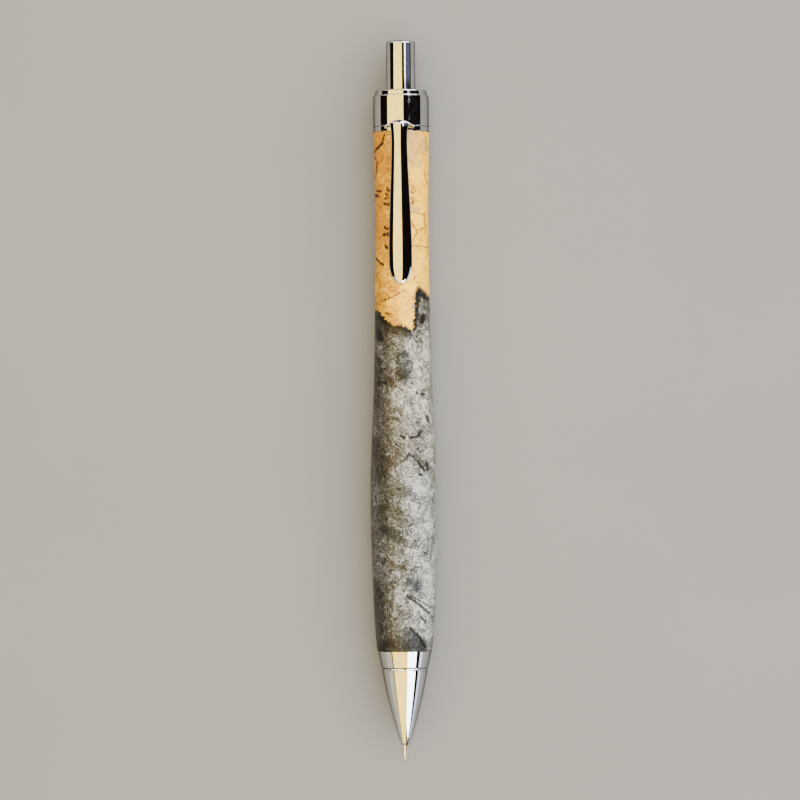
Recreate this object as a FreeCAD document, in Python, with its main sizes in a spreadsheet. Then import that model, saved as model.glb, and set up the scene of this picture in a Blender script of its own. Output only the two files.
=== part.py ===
"""Click-action mechanical pencil with a turned burl barrel and bright metal fittings.

The pencil lies along X with its lead mouth towards -X, its push button towards +X and its clip
upwards (+Z). Every piece is drawn along its own X axis, measured from the lead mouth, and then
placed so that the origin is on the resting surface below the middle of the pencil.
"""
import FreeCAD, Part
import math
import os
from types import SimpleNamespace

import Sketcher
from FreeCAD import Placement, Rotation, Vector

# Driving dimensions in millimetres. "at", "front" and "back" are distances from the lead mouth.
SIZES = {
    "overall_length": 140.0,
    # fits: pieces fixed together, pieces that run in each other, and broken edges
    "fixed_gap": 0.02,
    "running_gap": 0.05,
    "edge_break": 0.12,
    # nose cone and the coupler that it screws onto
    "cone_front": 2.75,
    "cone_front_radius": 0.80,
    "cone_arc_radius": 100.0,
    "cone_back": 17.70,
    "cone_back_radius": 4.48,
    "cone_hole_length": 0.65,
    "cone_chamber_at": 7.00,
    "cone_chamber_radius": 1.74,
    "cone_shoulder_length": 1.10,
    "cone_shoulder_step": 0.18,
    "thread_radius": 2.98,
    "thread_length": 4.20,
    "thread_lead_in": 0.25,
    "seam_chamfer": 0.15,
    "coupler_front_radius": 4.52,
    "coupler_back_radius": 5.20,
    "coupler_bore_radius": 2.25,
    "coupler_plug_length": 8.0,
    # lead nozzle, of which the neck shows in front of the cone
    "lead_bore_radius": 0.375,
    "mouth_radius": 0.47,
    "mouth_bore_length": 3.20,
    "neck_radius": 0.68,
    "bore_relief": 0.10,
    "retainer_front": 5.60,
    "retainer_back": 6.85,
    "retainer_radius": 1.00,
    "jaw_chamber_radius": 1.30,
    "clutch_chamber_front": 9.60,
    "clutch_chamber_radius": 1.50,
    "nozzle_front_radius": 1.62,
    "nozzle_wall": 0.35,
    "skirt_radius": 1.95,
    "flange_radius": 2.60,
    "flange_length": 1.05,
    # barrel: burl blank on a brass tube
    "barrel_front": 20.95,
    "barrel_back": 122.10,
    "barrel_front_radius": 5.37,
    "barrel_back_radius": 5.45,
    "belly_radius": 6.50,
    "grip_pull": 5.91,
    "swell_pull": 6.31,
    "belly_pull": 6.71,
    "shoulder_pull": 5.57,
    "taper_pull": 5.41,
    "waist_pull": 5.07,
    "flare_pull": 5.37,
    "tube_radius": 4.72,
    "tube_wall": 0.34,
    # clip
    "ring_thickness": 1.10,
    "ring_bore_radius": 3.92,
    "ring_gap": 0.03,
    "lug_depth": 1.00,
    "hinge_at": 123.30,
    "hinge_radius": 6.75,
    "knuckle_radius": 0.55,
    "knuckle_gap": 0.03,
    "clip_neck_height": 0.35,
    "clip_bend_radius": 1.05,
    "clip_thickness": 0.90,
    "clip_tip": 92.15,
    "clip_touch": 94.60,
    "clip_gap": 0.09,
    "clip_rest_radius": 5.27,
    "clip_tip_lift": 0.27,
    "clip_root_half_width": 3.05,
    "clip_hinge_half_width": 2.45,
    "clip_neck_half_width": 1.53,
    "clip_neck_front": 4.00,
    "clip_neck_back": 1.60,
    "clip_wide_half_width": 2.27,
    "clip_wide_front": 97.20,
    "clip_wide_back": 99.80,
    "clip_tip_half_width": 0.30,
    "clip_tip_arc_radius": 6.65,
    # collar and the bush that it screws into
    "collar_back": 130.30,
    "collar_lip_length": 1.05,
    "collar_lip_radius": 5.05,
    "collar_lip_round": 0.30,
    "collar_shoulder": 0.40,
    "collar_bore_radius": 2.91,
    "collar_thread_radius": 3.88,
    "collar_thread_length": 7.70,
    "bush_length": 9.60,
    "bush_lip_length": 2.70,
    "bush_lip_radius": 3.06,
    # push button, ferrule and eraser
    "button_front": 119.0,
    "button_skirt_radius": 2.66,
    "button_radius": 2.83,
    "button_round": 0.50,
    "button_bore_radius": 2.36,
    "button_bore_back": 137.3,
    "ferrule_front": 118.5,
    "ferrule_back": 130.5,
    "ferrule_radius": 2.33,
    "eraser_radius": 2.00,
    "eraser_seat": 3.20,
    "eraser_length": 6.30,
    "eraser_round": 0.35,
    # spring housing and spring
    "sleeve_front": 12.30,
    "sleeve_spigot_radius": 1.58,
    "sleeve_shoulder": 15.60,
    "sleeve_radius": 2.20,
    "sleeve_back": 25.60,
    "sleeve_bore_radius": 0.90,
    "spring_chamber_radius": 1.65,
    "spring_front": 16.25,
    "spring_length": 8.60,
    "spring_coil_radius": 1.28,
    "spring_wire_radius": 0.15,
    "spring_turns": 8.0,
    # chuck, clutch ring, adapter and reservoir
    "chuck_front": 9.65,
    "chuck_back": 27.55,
    "chuck_head_radius": 1.20,
    "chuck_nose_chamfer": 0.25,
    "chuck_head_front": 9.95,
    "chuck_head_back": 10.35,
    "chuck_stem_front": 12.05,
    "chuck_stem_radius": 0.85,
    "chuck_grip_length": 3.50,
    "chuck_relief_length": 0.50,
    "chuck_slit_width": 0.22,
    "chuck_slit_length": 8.0,
    "chuck_slit_overrun": 0.20,
    "chuck_jaw_count": 3,
    "clutch_front": 10.70,
    "clutch_back": 12.20,
    "clutch_cone_gap": 0.035,
    "clutch_throat_length": 0.12,
    "clutch_throat_radius": 0.875,
    "clutch_face_radius": 1.30,
    "adapter_front": 24.90,
    "adapter_shoulder": 28.50,
    "adapter_back": 31.00,
    "adapter_radius": 1.60,
    "adapter_socket_gap": 0.01,
    "adapter_throat_length": 0.45,
    "adapter_throat_radius": 0.45,
    "adapter_rim": 0.18,
    "reservoir_back": 124.50,
    "reservoir_radius": 1.75,
    "reservoir_bore_radius": 1.36,
    # leads
    "lead_radius": 0.35,
    "lead_front": 3.50,
    "lead_length": 60.0,
    "spare_lead_front": 68.0,
    "spare_lead_length": 50.0,
    "spare_lead_offset": 0.72,
    "spare_lead_count": 3,
}

# Where the barrel's profile is pulled from, as fractions of its length, and each pull's radius.
BARREL_PULLS = {
    "grip_pull": 1 / 18, "swell_pull": 1 / 6, "belly_pull": 1 / 3, "shoulder_pull": 1 / 2,
    "taper_pull": 2 / 3, "waist_pull": 5 / 6, "flare_pull": 17 / 18,
}


class Length:
    """A length that knows both its number and the expression of sheet cells that gives it."""

    def __init__(self, number, text):
        self.number = number
        self.text = text

    def __add__(self, other):
        return combined(self, "+", other, self.number + number_of(other))

    def __sub__(self, other):
        return combined(self, "-", other, self.number - number_of(other))

    def __mul__(self, other):
        return combined(self, "*", other, self.number * number_of(other))

    def __truediv__(self, other):
        return combined(self, "/", other, self.number / number_of(other))

    def __neg__(self):
        return Length(-self.number, f"(-{self.text})")


def number_of(thing):
    return thing.number if isinstance(thing, Length) else float(thing)


def combined(first, sign, second, number):
    text = second.text if isinstance(second, Length) else f"{second:.9f}"
    return Length(number, f"({first.text} {sign} {text})")


SIZE = SimpleNamespace(**{alias: Length(float(number), f"Sizes.{alias}") for alias, number in SIZES.items()})


def make_sheet(doc):
    sheet = doc.addObject("Spreadsheet::Sheet", "Sizes")
    for row, (alias, number) in enumerate(SIZES.items(), start=1):
        sheet.set(f"A{row}", alias)
        sheet.set(f"B{row}", str(number))
        sheet.setAlias(f"B{row}", alias)
    doc.recompute()


def put_in_place(thing):
    """Moves a piece from its own axis to the pencil's place above the resting surface."""
    thing.setExpression("Placement.Base.x", (-SIZE.overall_length / 2).text)
    thing.setExpression("Placement.Base.z", SIZE.belly_radius.text)


def new_body(doc, label):
    body = doc.addObject("PartDesign::Body", label)
    body.Label = label
    put_in_place(body)
    return body


def new_sketch(body, name, role):
    sketch = body.newObject("Sketcher::SketchObject", name)
    plane = next(feature for feature in body.Origin.OriginFeatures if feature.Role == role)
    sketch.AttachmentSupport = (plane, [""])
    sketch.MapMode = "FlatFace"
    sketch.Visibility = False
    return sketch


def point(along, out):
    return Vector(number_of(along), number_of(out), 0)


def arc_side(start, end, radius):
    """An arc between two corners, with the corners' positions on it. A positive radius bulges left of
    the way from start to end, a negative one right of it."""
    chord = end - start
    half = chord.Length / 2
    size = abs(radius)
    left = Vector(-chord.y, chord.x, 0).normalize()
    centre = (start + end) * 0.5 - left * math.copysign(math.sqrt(size * size - half * half), radius)
    first, last = (end, start) if radius > 0 else (start, end)
    angles = [math.atan2(corner.y - centre.y, corner.x - centre.x) for corner in (first, last)]
    circle = Part.Circle(centre, Vector(0, 0, 1), size)
    positions = (2, 1) if radius > 0 else (1, 2)
    return Part.ArcOfCircle(circle, angles[0], angles[1]), positions


def hold(sketch, kind, length, *place):
    """Binds a distance or radius in a sketch to its expression of sheet cells."""
    made = sketch.addConstraint(Sketcher.Constraint(kind, *place, length.number))
    sketch.setExpression(f"Constraints[{made}]", length.text)


def hold_point(sketch, along, out, geometry, position):
    """Binds a point's two coordinates. A coordinate that is a plain 0 keeps it on the sketch's axis."""
    for kind, axis, length in (("DistanceX", -2, along), ("DistanceY", -1, out)):
        if isinstance(length, Length):
            hold(sketch, kind, length, -1, 1, geometry, position)
        else:
            sketch.addConstraint(Sketcher.Constraint("PointOnObject", geometry, position, axis))


def hold_pulls(sketch, spline, pulls):
    """Binds a spline's inner control points, each the centre of a small construction circle."""
    circles = []
    for pole, (along, out) in enumerate(pulls, start=1):
        circle = sketch.addGeometry(Part.Circle(point(along, out), Vector(0, 0, 1), 1), True)
        alignment = "InternalAlignment:Sketcher::BSplineControlPoint"
        sketch.addConstraint(Sketcher.Constraint(alignment, circle, 3, spline, pole))
        hold_point(sketch, along, out, circle, 3)
        circles.append(circle)
    sketch.addConstraint(Sketcher.Constraint("Weight", circles[0], 1.0))
    for circle in circles[1:]:
        sketch.addConstraint(Sketcher.Constraint("Equal", circles[0], circle))


def draw_loop(sketch, corners, arcs=None, splines=None):
    """Draws a closed outline through (along, out) corners. arcs gives, for a side's index, its radius
    and +1 or -1 for the way it bulges. splines gives, for a side's index, the inner control points of
    a smooth curve."""
    arcs = arcs or {}
    splines = splines or {}
    points = [point(along, out) for along, out in corners]
    sides = []
    for index, start in enumerate(points):
        end = points[(index + 1) % len(points)]
        positions = (1, 2)
        if index in arcs:
            radius, way = arcs[index]
            side, positions = arc_side(start, end, way * radius.number)
        elif index in splines:
            side = Part.BSplineCurve()
            side.buildFromPoles([start, *(point(along, out) for along, out in splines[index]), end], False, 3)
        else:
            side = Part.LineSegment(start, end)
        sides.append((sketch.addGeometry(side, False), *positions))
    for index, (along, out) in enumerate(corners):
        side, first, last = sides[index]
        following, following_first, _ = sides[(index + 1) % len(corners)]
        sketch.addConstraint(Sketcher.Constraint("Coincident", side, last, following, following_first))
        hold_point(sketch, along, out, side, first)
        if index in arcs:
            hold(sketch, "Radius", arcs[index][0], side)
    for index, pulls in splines.items():
        hold_pulls(sketch, sides[index][0], pulls)


def draw_circle(sketch, along, out, radius):
    outline = Part.Circle(point(along, out), Vector(0, 0, 1), radius.number)
    circle = sketch.addGeometry(outline, False)
    hold_point(sketch, along, out, circle, 3)
    hold(sketch, "Radius", radius, circle)


def turned(doc, label, corners, arcs=None, splines=None):
    """A piece turned about its X axis from one closed outline of (along, radius) corners."""
    body = new_body(doc, label)
    outline = new_sketch(body, label + "_outline", "XY_Plane")
    draw_loop(outline, corners, arcs, splines)
    turning = body.newObject("PartDesign::Revolution", label + "_turning")
    turning.Profile = outline
    turning.ReferenceAxis = (outline, ["H_Axis"])
    turning.Angle = 360.0
    return body


def tube(doc, label, front, back, inner, outer):
    return turned(doc, label, [(front, inner), (front, outer), (back, outer), (back, inner)])


def cut_through(body, name, sketch, length):
    """Cuts a sketch's outline through a body, half of the length to each side of the sketch."""
    cut = body.newObject("PartDesign::Pocket", name)
    cut.Profile = sketch
    cut.Midplane = True
    cut.setExpression("Length", length.text)
    return cut


def make_barrel_blank(doc):
    """Burl blank, turned to a long belly and a shallow waist that the clip lies over."""
    bore = SIZE.tube_radius + SIZE.fixed_gap
    length = SIZE.barrel_back - SIZE.barrel_front
    pulls = [
        (SIZE.barrel_front + length * place, getattr(SIZE, pull)) for pull, place in BARREL_PULLS.items()
    ]
    return turned(
        doc,
        "barrel_blank",
        [
            (SIZE.barrel_front, bore),
            (SIZE.barrel_front, SIZE.barrel_front_radius),
            (SIZE.barrel_back, SIZE.barrel_back_radius),
            (SIZE.barrel_back, bore),
        ],
        splines={1: pulls},
    )


def make_barrel_tube(doc):
    front = SIZE.barrel_front + SIZE.running_gap
    back = SIZE.barrel_back - SIZE.running_gap
    return tube(doc, "barrel_tube", front, back, SIZE.tube_radius - SIZE.tube_wall, SIZE.tube_radius)


def make_nose_coupler(doc):
    """Visible tapered band, with a threaded spigot in front and a plug in the brass tube behind."""
    plug = SIZE.tube_radius - SIZE.tube_wall - SIZE.fixed_gap
    spigot_front = SIZE.cone_back - SIZE.thread_length
    band_front = SIZE.cone_back + SIZE.running_gap
    plug_back = SIZE.barrel_front + SIZE.coupler_plug_length
    return turned(
        doc,
        "nose_coupler",
        [
            (spigot_front, SIZE.coupler_bore_radius),
            (spigot_front, SIZE.thread_radius - SIZE.thread_lead_in),
            (spigot_front + SIZE.thread_lead_in, SIZE.thread_radius),
            (band_front, SIZE.thread_radius),
            (band_front, SIZE.coupler_front_radius - SIZE.seam_chamfer),
            (band_front + SIZE.seam_chamfer, SIZE.coupler_front_radius),
            (SIZE.barrel_front, SIZE.coupler_back_radius),
            (SIZE.barrel_front, plug),
            (plug_back, plug),
            (plug_back, SIZE.coupler_bore_radius),
        ],
    )


def make_nose_cone(doc):
    """Hollow ogive cone that screws onto the coupler and leaves the nozzle's neck showing."""
    hole = SIZE.neck_radius + SIZE.running_gap
    thread = SIZE.thread_radius + SIZE.running_gap
    shoulder = SIZE.cone_back - SIZE.thread_length - SIZE.edge_break
    return turned(
        doc,
        "nose_cone",
        [
            (SIZE.cone_front, hole),
            (SIZE.cone_front, SIZE.cone_front_radius),
            (SIZE.cone_back - SIZE.seam_chamfer, SIZE.cone_back_radius),
            (SIZE.cone_back, SIZE.cone_back_radius - SIZE.seam_chamfer),
            (SIZE.cone_back, thread),
            (shoulder, thread),
            (shoulder - SIZE.cone_shoulder_length, thread - SIZE.cone_shoulder_step),
            (SIZE.cone_chamber_at, SIZE.cone_chamber_radius),
            (SIZE.cone_front + SIZE.cone_hole_length, hole),
        ],
        {1: (SIZE.cone_arc_radius, 1)},
    )


def make_lead_nozzle(doc):
    """Steel nozzle: the neck that shows, the retainer's seat, the jaw chamber and the skirt."""
    relief = SIZE.lead_bore_radius + SIZE.bore_relief
    socket = SIZE.sleeve_spigot_radius + SIZE.fixed_gap
    flange_front = SIZE.sleeve_front + SIZE.running_gap
    flange_back = flange_front + SIZE.flange_length
    skirt_back = SIZE.sleeve_shoulder - SIZE.running_gap
    return turned(
        doc,
        "lead_nozzle",
        [
            (0, SIZE.lead_bore_radius),
            (0, SIZE.mouth_radius),
            (SIZE.cone_front, SIZE.neck_radius),
            (SIZE.cone_front + SIZE.cone_hole_length, SIZE.neck_radius),
            (SIZE.retainer_back, SIZE.nozzle_front_radius),
            (SIZE.clutch_chamber_front, SIZE.clutch_chamber_radius + SIZE.nozzle_wall),
            (flange_front, SIZE.skirt_radius),
            (flange_front, SIZE.flange_radius),
            (flange_back, SIZE.flange_radius),
            (flange_back, SIZE.skirt_radius),
            (skirt_back, SIZE.skirt_radius),
            (skirt_back, socket),
            (SIZE.sleeve_front, socket),
            (SIZE.sleeve_front, SIZE.clutch_chamber_radius),
            (SIZE.clutch_chamber_front, SIZE.clutch_chamber_radius),
            (SIZE.clutch_chamber_front, SIZE.jaw_chamber_radius),
            (SIZE.retainer_back, SIZE.jaw_chamber_radius),
            (SIZE.retainer_back, SIZE.retainer_radius),
            (SIZE.retainer_front, SIZE.retainer_radius),
            (SIZE.retainer_front, relief + SIZE.bore_relief),
            (SIZE.mouth_bore_length, relief),
            (SIZE.mouth_bore_length, SIZE.lead_bore_radius),
        ],
    )


def make_lead_retainer(doc):
    """Rubber ring that drags on the lead while the jaws are open."""
    return tube(
        doc,
        "lead_retainer",
        SIZE.retainer_front + SIZE.fixed_gap,
        SIZE.retainer_back - SIZE.fixed_gap,
        SIZE.lead_radius + SIZE.fixed_gap,
        SIZE.retainer_radius - SIZE.fixed_gap,
    )


def make_mechanism_sleeve(doc):
    """Brass housing of the spring. It screws into the nozzle's skirt and the coupler's bore."""
    front = SIZE.sleeve_front + SIZE.fixed_gap
    floor = SIZE.spring_front - SIZE.fixed_gap
    return turned(
        doc,
        "mechanism_sleeve",
        [
            (front, SIZE.sleeve_bore_radius),
            (front, SIZE.sleeve_spigot_radius),
            (SIZE.sleeve_shoulder, SIZE.sleeve_spigot_radius),
            (SIZE.sleeve_shoulder, SIZE.sleeve_radius),
            (SIZE.sleeve_back, SIZE.sleeve_radius),
            (SIZE.sleeve_back, SIZE.spring_chamber_radius),
            (floor, SIZE.spring_chamber_radius),
            (floor, SIZE.sleeve_bore_radius),
        ],
    )


def make_return_spring(doc):
    """Compression spring that pulls the jaws back into the clutch ring."""
    body = new_body(doc, "return_spring")
    wire = new_sketch(body, "return_spring_wire", "XY_Plane")
    first_turn = SIZE.spring_front + SIZE.spring_wire_radius
    draw_circle(wire, first_turn, SIZE.spring_coil_radius, SIZE.spring_wire_radius)
    coil = body.newObject("PartDesign::AdditiveHelix", "return_spring_coil")
    coil.Profile = wire
    coil.ReferenceAxis = (wire, ["H_Axis"])
    coil.Mode = "height-turns-angle"
    coil.setExpression("Height", (SIZE.spring_length - SIZE.spring_wire_radius * 2).text)
    coil.setExpression("Turns", SIZE.spring_turns.text)
    return body


def make_chuck(doc):
    """Brass collet: a turned stem and head whose front is slit into jaws."""
    relief = SIZE.lead_bore_radius + SIZE.bore_relief
    grip_back = SIZE.chuck_front + SIZE.chuck_grip_length
    body = turned(
        doc,
        "chuck",
        [
            (SIZE.chuck_front, SIZE.lead_bore_radius),
            (SIZE.chuck_front, SIZE.chuck_head_radius - SIZE.chuck_nose_chamfer),
            (SIZE.chuck_head_front, SIZE.chuck_head_radius),
            (SIZE.chuck_head_back, SIZE.chuck_head_radius),
            (SIZE.chuck_stem_front, SIZE.chuck_stem_radius),
            (SIZE.chuck_back, SIZE.chuck_stem_radius),
            (SIZE.chuck_back, relief),
            (grip_back + SIZE.chuck_relief_length, relief),
            (grip_back, SIZE.lead_bore_radius),
        ],
    )
    slot = new_sketch(body, "chuck_slot", "XZ_Plane")
    slot_front = SIZE.chuck_front - SIZE.chuck_slit_overrun
    slot_back = SIZE.chuck_front + SIZE.chuck_slit_length
    slot_top = SIZE.chuck_head_radius + SIZE.chuck_slit_overrun
    draw_loop(slot, [(slot_front, 0), (slot_front, slot_top), (slot_back, slot_top), (slot_back, 0)])
    slit = cut_through(body, "chuck_slit", slot, SIZE.chuck_slit_width)
    doc.recompute()
    slits = body.newObject("PartDesign::PolarPattern", "chuck_slits")
    slits.Originals = [slit]
    slits.Axis = (slot, ["H_Axis"])
    slits.Angle = 360.0
    slits.setExpression("Occurrences", SIZE.chuck_jaw_count.text)
    body.Tip = slits
    return body


def make_clutch_ring(doc):
    """Ring that holds the jaws shut on its inner cone."""
    rim = SIZE.clutch_chamber_radius - SIZE.running_gap
    return turned(
        doc,
        "clutch_ring",
        [
            (SIZE.clutch_front, SIZE.chuck_head_radius - SIZE.clutch_cone_gap),
            (SIZE.clutch_front, SIZE.clutch_face_radius),
            (SIZE.clutch_front + SIZE.edge_break, rim),
            (SIZE.clutch_back, rim),
            (SIZE.clutch_back, SIZE.clutch_throat_radius),
            (SIZE.clutch_back - SIZE.clutch_throat_length, SIZE.clutch_throat_radius),
        ],
    )


def make_chuck_adapter(doc):
    """Joins the chuck's stem to the reservoir and funnels the next lead into it."""
    socket = SIZE.chuck_stem_radius + SIZE.adapter_socket_gap
    socket_back = SIZE.chuck_back + SIZE.running_gap
    spigot = SIZE.reservoir_bore_radius - SIZE.fixed_gap
    return turned(
        doc,
        "chuck_adapter",
        [
            (SIZE.adapter_front, socket),
            (SIZE.adapter_front, SIZE.adapter_radius),
            (SIZE.adapter_shoulder, SIZE.adapter_radius),
            (SIZE.adapter_shoulder, spigot),
            (SIZE.adapter_back, spigot),
            (SIZE.adapter_back, spigot - SIZE.adapter_rim),
            (socket_back + SIZE.adapter_throat_length, SIZE.adapter_throat_radius),
            (socket_back, SIZE.adapter_throat_radius),
            (socket_back, socket),
        ],
    )


def make_lead_reservoir(doc):
    """Clear plastic tube that holds the spare leads."""
    front = SIZE.adapter_shoulder + SIZE.fixed_gap
    return tube(
        doc, "lead_reservoir", front, SIZE.reservoir_back, SIZE.reservoir_bore_radius, SIZE.reservoir_radius
    )


def make_eraser_ferrule(doc):
    """Metal sleeve on the reservoir's end, with a stepped seat for the eraser."""
    socket = SIZE.reservoir_radius + SIZE.fixed_gap
    socket_back = SIZE.reservoir_back + SIZE.running_gap
    seat = SIZE.eraser_radius + SIZE.fixed_gap
    seat_front = SIZE.ferrule_back - SIZE.eraser_seat
    return turned(
        doc,
        "eraser_ferrule",
        [
            (SIZE.ferrule_front, socket),
            (SIZE.ferrule_front, SIZE.ferrule_radius),
            (SIZE.ferrule_back - SIZE.edge_break, SIZE.ferrule_radius),
            (SIZE.ferrule_back, SIZE.ferrule_radius - SIZE.edge_break),
            (SIZE.ferrule_back, seat),
            (seat_front, seat),
            (seat_front, SIZE.reservoir_bore_radius),
            (socket_back, SIZE.reservoir_bore_radius),
            (socket_back, socket),
        ],
    )


def make_eraser(doc):
    front = SIZE.ferrule_back - SIZE.eraser_seat + SIZE.running_gap
    back = front + SIZE.eraser_length
    return turned(
        doc,
        "eraser",
        [
            (front, 0),
            (front, SIZE.eraser_radius),
            (back - SIZE.eraser_round, SIZE.eraser_radius),
            (back, SIZE.eraser_radius - SIZE.eraser_round),
            (back, 0),
        ],
        {2: (SIZE.eraser_round, 1)},
    )


def make_push_button(doc):
    """Bright cap over the eraser. Its skirt slips onto the ferrule, inside the collar."""
    return turned(
        doc,
        "push_button",
        [
            (SIZE.button_front, SIZE.button_bore_radius),
            (SIZE.button_front, SIZE.button_skirt_radius),
            (SIZE.collar_back + SIZE.running_gap, SIZE.button_skirt_radius),
            (SIZE.collar_back + SIZE.edge_break, SIZE.button_radius),
            (SIZE.overall_length - SIZE.button_round, SIZE.button_radius),
            (SIZE.overall_length, SIZE.button_radius - SIZE.button_round),
            (SIZE.overall_length, 0),
            (SIZE.button_bore_back, 0),
            (SIZE.button_bore_back, SIZE.button_bore_radius),
        ],
        {4: (SIZE.button_round, 1)},
    )


def make_top_collar(doc):
    """Collar with a stepped, rounded lip. Its threaded spigot clamps the clip ring."""
    front = SIZE.barrel_back + SIZE.ring_thickness
    spigot = front - SIZE.collar_thread_length
    lip = SIZE.collar_back - SIZE.collar_lip_length
    return turned(
        doc,
        "top_collar",
        [
            (spigot, SIZE.collar_bore_radius),
            (spigot, SIZE.collar_thread_radius - SIZE.edge_break),
            (spigot + SIZE.edge_break, SIZE.collar_thread_radius),
            (front, SIZE.collar_thread_radius),
            (front, SIZE.barrel_back_radius - SIZE.edge_break),
            (front + SIZE.edge_break, SIZE.barrel_back_radius),
            (lip - SIZE.collar_shoulder, SIZE.barrel_back_radius),
            (lip, SIZE.collar_lip_radius),
            (SIZE.collar_back - SIZE.collar_lip_round, SIZE.collar_lip_radius),
            (SIZE.collar_back, SIZE.collar_lip_radius - SIZE.collar_lip_round),
            (SIZE.collar_back, SIZE.collar_bore_radius + SIZE.edge_break),
            (SIZE.collar_back - SIZE.edge_break, SIZE.collar_bore_radius),
        ],
        {6: (SIZE.collar_shoulder, 1), 8: (SIZE.collar_lip_round, 1)},
    )


def make_rear_coupler(doc):
    """Threaded brass bush in the tube's back end that the collar screws into."""
    front = SIZE.barrel_back - SIZE.bush_length
    back = SIZE.barrel_back - SIZE.fixed_gap
    outer = SIZE.tube_radius - SIZE.tube_wall - SIZE.fixed_gap
    return turned(
        doc,
        "rear_coupler",
        [
            (front, SIZE.bush_lip_radius),
            (front, outer),
            (back, outer),
            (back, SIZE.ring_bore_radius),
            (front + SIZE.bush_lip_length, SIZE.ring_bore_radius),
            (front + SIZE.bush_lip_length, SIZE.bush_lip_radius),
        ],
    )


def make_clip_ring(doc):
    """Ring clamped under the collar, with the flared lug that carries the arm's knuckle."""
    front = SIZE.barrel_back + SIZE.ring_gap
    back = SIZE.barrel_back + SIZE.ring_thickness - SIZE.ring_gap
    rim = SIZE.barrel_back_radius - SIZE.ring_gap
    body = tube(doc, "clip_ring", front, back, SIZE.ring_bore_radius, rim)
    plan = new_sketch(body, "clip_lug_plan", "YZ_Plane")
    plan.setExpression("AttachmentOffset.Base.z", front.text)
    lug_base = SIZE.barrel_back_radius - SIZE.lug_depth
    draw_loop(
        plan,
        [
            (-SIZE.clip_root_half_width, lug_base),
            (SIZE.clip_root_half_width, lug_base),
            (SIZE.clip_hinge_half_width, SIZE.hinge_radius),
            (-SIZE.clip_hinge_half_width, SIZE.hinge_radius),
        ],
    )
    lug = body.newObject("PartDesign::Pad", "clip_lug")
    lug.Profile = plan
    lug.setExpression("Length", (SIZE.hinge_at + SIZE.knuckle_radius - front).text)
    doc.recompute()
    side = new_sketch(body, "clip_lug_side", "XZ_Plane")
    past_lug = SIZE.hinge_at + SIZE.knuckle_radius * 2
    draw_loop(
        side,
        [
            (back, 0),
            (past_lug, 0),
            (past_lug, SIZE.hinge_radius - SIZE.knuckle_radius),
            (back, SIZE.barrel_back_radius + SIZE.running_gap),
        ],
    )
    draw_circle(side, SIZE.hinge_at, SIZE.hinge_radius, SIZE.knuckle_radius + SIZE.knuckle_gap)
    cut_through(body, "clip_lug_cut", side, SIZE.clip_root_half_width * 4)
    return body


def make_clip_arm(doc):
    """Spring arm: up from its knuckle, over a tight bend and down to the waist, where its tip lifts."""
    body = new_body(doc, "clip_arm")
    side = new_sketch(body, "clip_side", "XZ_Plane")
    neck_back = SIZE.hinge_at + SIZE.knuckle_radius
    neck_front = SIZE.hinge_at - SIZE.knuckle_radius
    bend = SIZE.hinge_radius + SIZE.clip_neck_height
    crown = bend + SIZE.clip_bend_radius
    touch = SIZE.clip_rest_radius + SIZE.clip_gap
    draw_loop(
        side,
        [
            (neck_front, SIZE.hinge_radius),
            (SIZE.hinge_at, SIZE.hinge_radius - SIZE.knuckle_radius),
            (neck_back, SIZE.hinge_radius),
            (neck_back, bend),
            (neck_back - SIZE.clip_bend_radius, crown),
            (SIZE.clip_touch, touch + SIZE.clip_thickness),
            (SIZE.clip_tip, touch + SIZE.clip_thickness + SIZE.edge_break),
            (SIZE.clip_tip, touch + SIZE.clip_tip_lift),
            (SIZE.clip_touch, touch),
            (neck_front - SIZE.clip_bend_radius / 2, crown - SIZE.clip_thickness),
            (neck_front, crown - SIZE.clip_thickness * 1.25),
        ],
        {0: (SIZE.knuckle_radius, -1), 1: (SIZE.knuckle_radius, -1), 3: (SIZE.clip_bend_radius, 1)},
    )
    strip = body.newObject("PartDesign::Pad", "clip_strip")
    strip.Profile = side
    strip.Midplane = True
    strip.setExpression("Length", (SIZE.clip_root_half_width * 2).text)
    doc.recompute()
    half_plan = [
        (SIZE.clip_tip, SIZE.clip_tip_half_width),
        (SIZE.clip_wide_front, SIZE.clip_wide_half_width),
        (SIZE.clip_wide_back, SIZE.clip_wide_half_width),
        (SIZE.hinge_at - SIZE.clip_neck_front, SIZE.clip_neck_half_width),
        (SIZE.hinge_at - SIZE.clip_neck_back, SIZE.clip_neck_half_width),
        (SIZE.hinge_at, SIZE.clip_hinge_half_width),
        (neck_back, SIZE.clip_hinge_half_width),
    ]
    mirrored = [(along, -out) for along, out in half_plan]
    tip_round = (SIZE.clip_tip_arc_radius, -1)
    past_tip = SIZE.clip_tip - SIZE.clip_root_half_width
    past_neck = neck_back + SIZE.clip_root_half_width
    past_side = SIZE.clip_root_half_width * 2
    plan = new_sketch(body, "clip_plan", "XY_Plane")
    draw_loop(
        plan,
        [(past_tip, -past_side), (past_neck, -past_side), (past_neck, past_side), (past_tip, past_side)],
    )
    draw_loop(plan, mirrored + half_plan[::-1], {0: tip_round, 2 * len(half_plan) - 2: tip_round})
    cut_through(body, "clip_trim", plan, SIZE.hinge_radius * 4)
    return body


def lead(doc, name, front, length, across=None, up=None):
    """A pencil lead that lies along the axis, or beside it by the lengths across and up."""
    rod = doc.addObject("Part::Cylinder", name)
    rod.Label = name
    rod.setExpression("Radius", SIZE.lead_radius.text)
    rod.setExpression("Height", length.text)
    rod.Placement = Placement(Vector(), Rotation(Vector(0, 1, 0), 90))
    put_in_place(rod)
    rod.setExpression("Placement.Base.x", (front - SIZE.overall_length / 2).text)
    if across is not None:
        rod.setExpression("Placement.Base.y", across.text)
        rod.setExpression("Placement.Base.z", (SIZE.belly_radius + up).text)
    return rod


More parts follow.
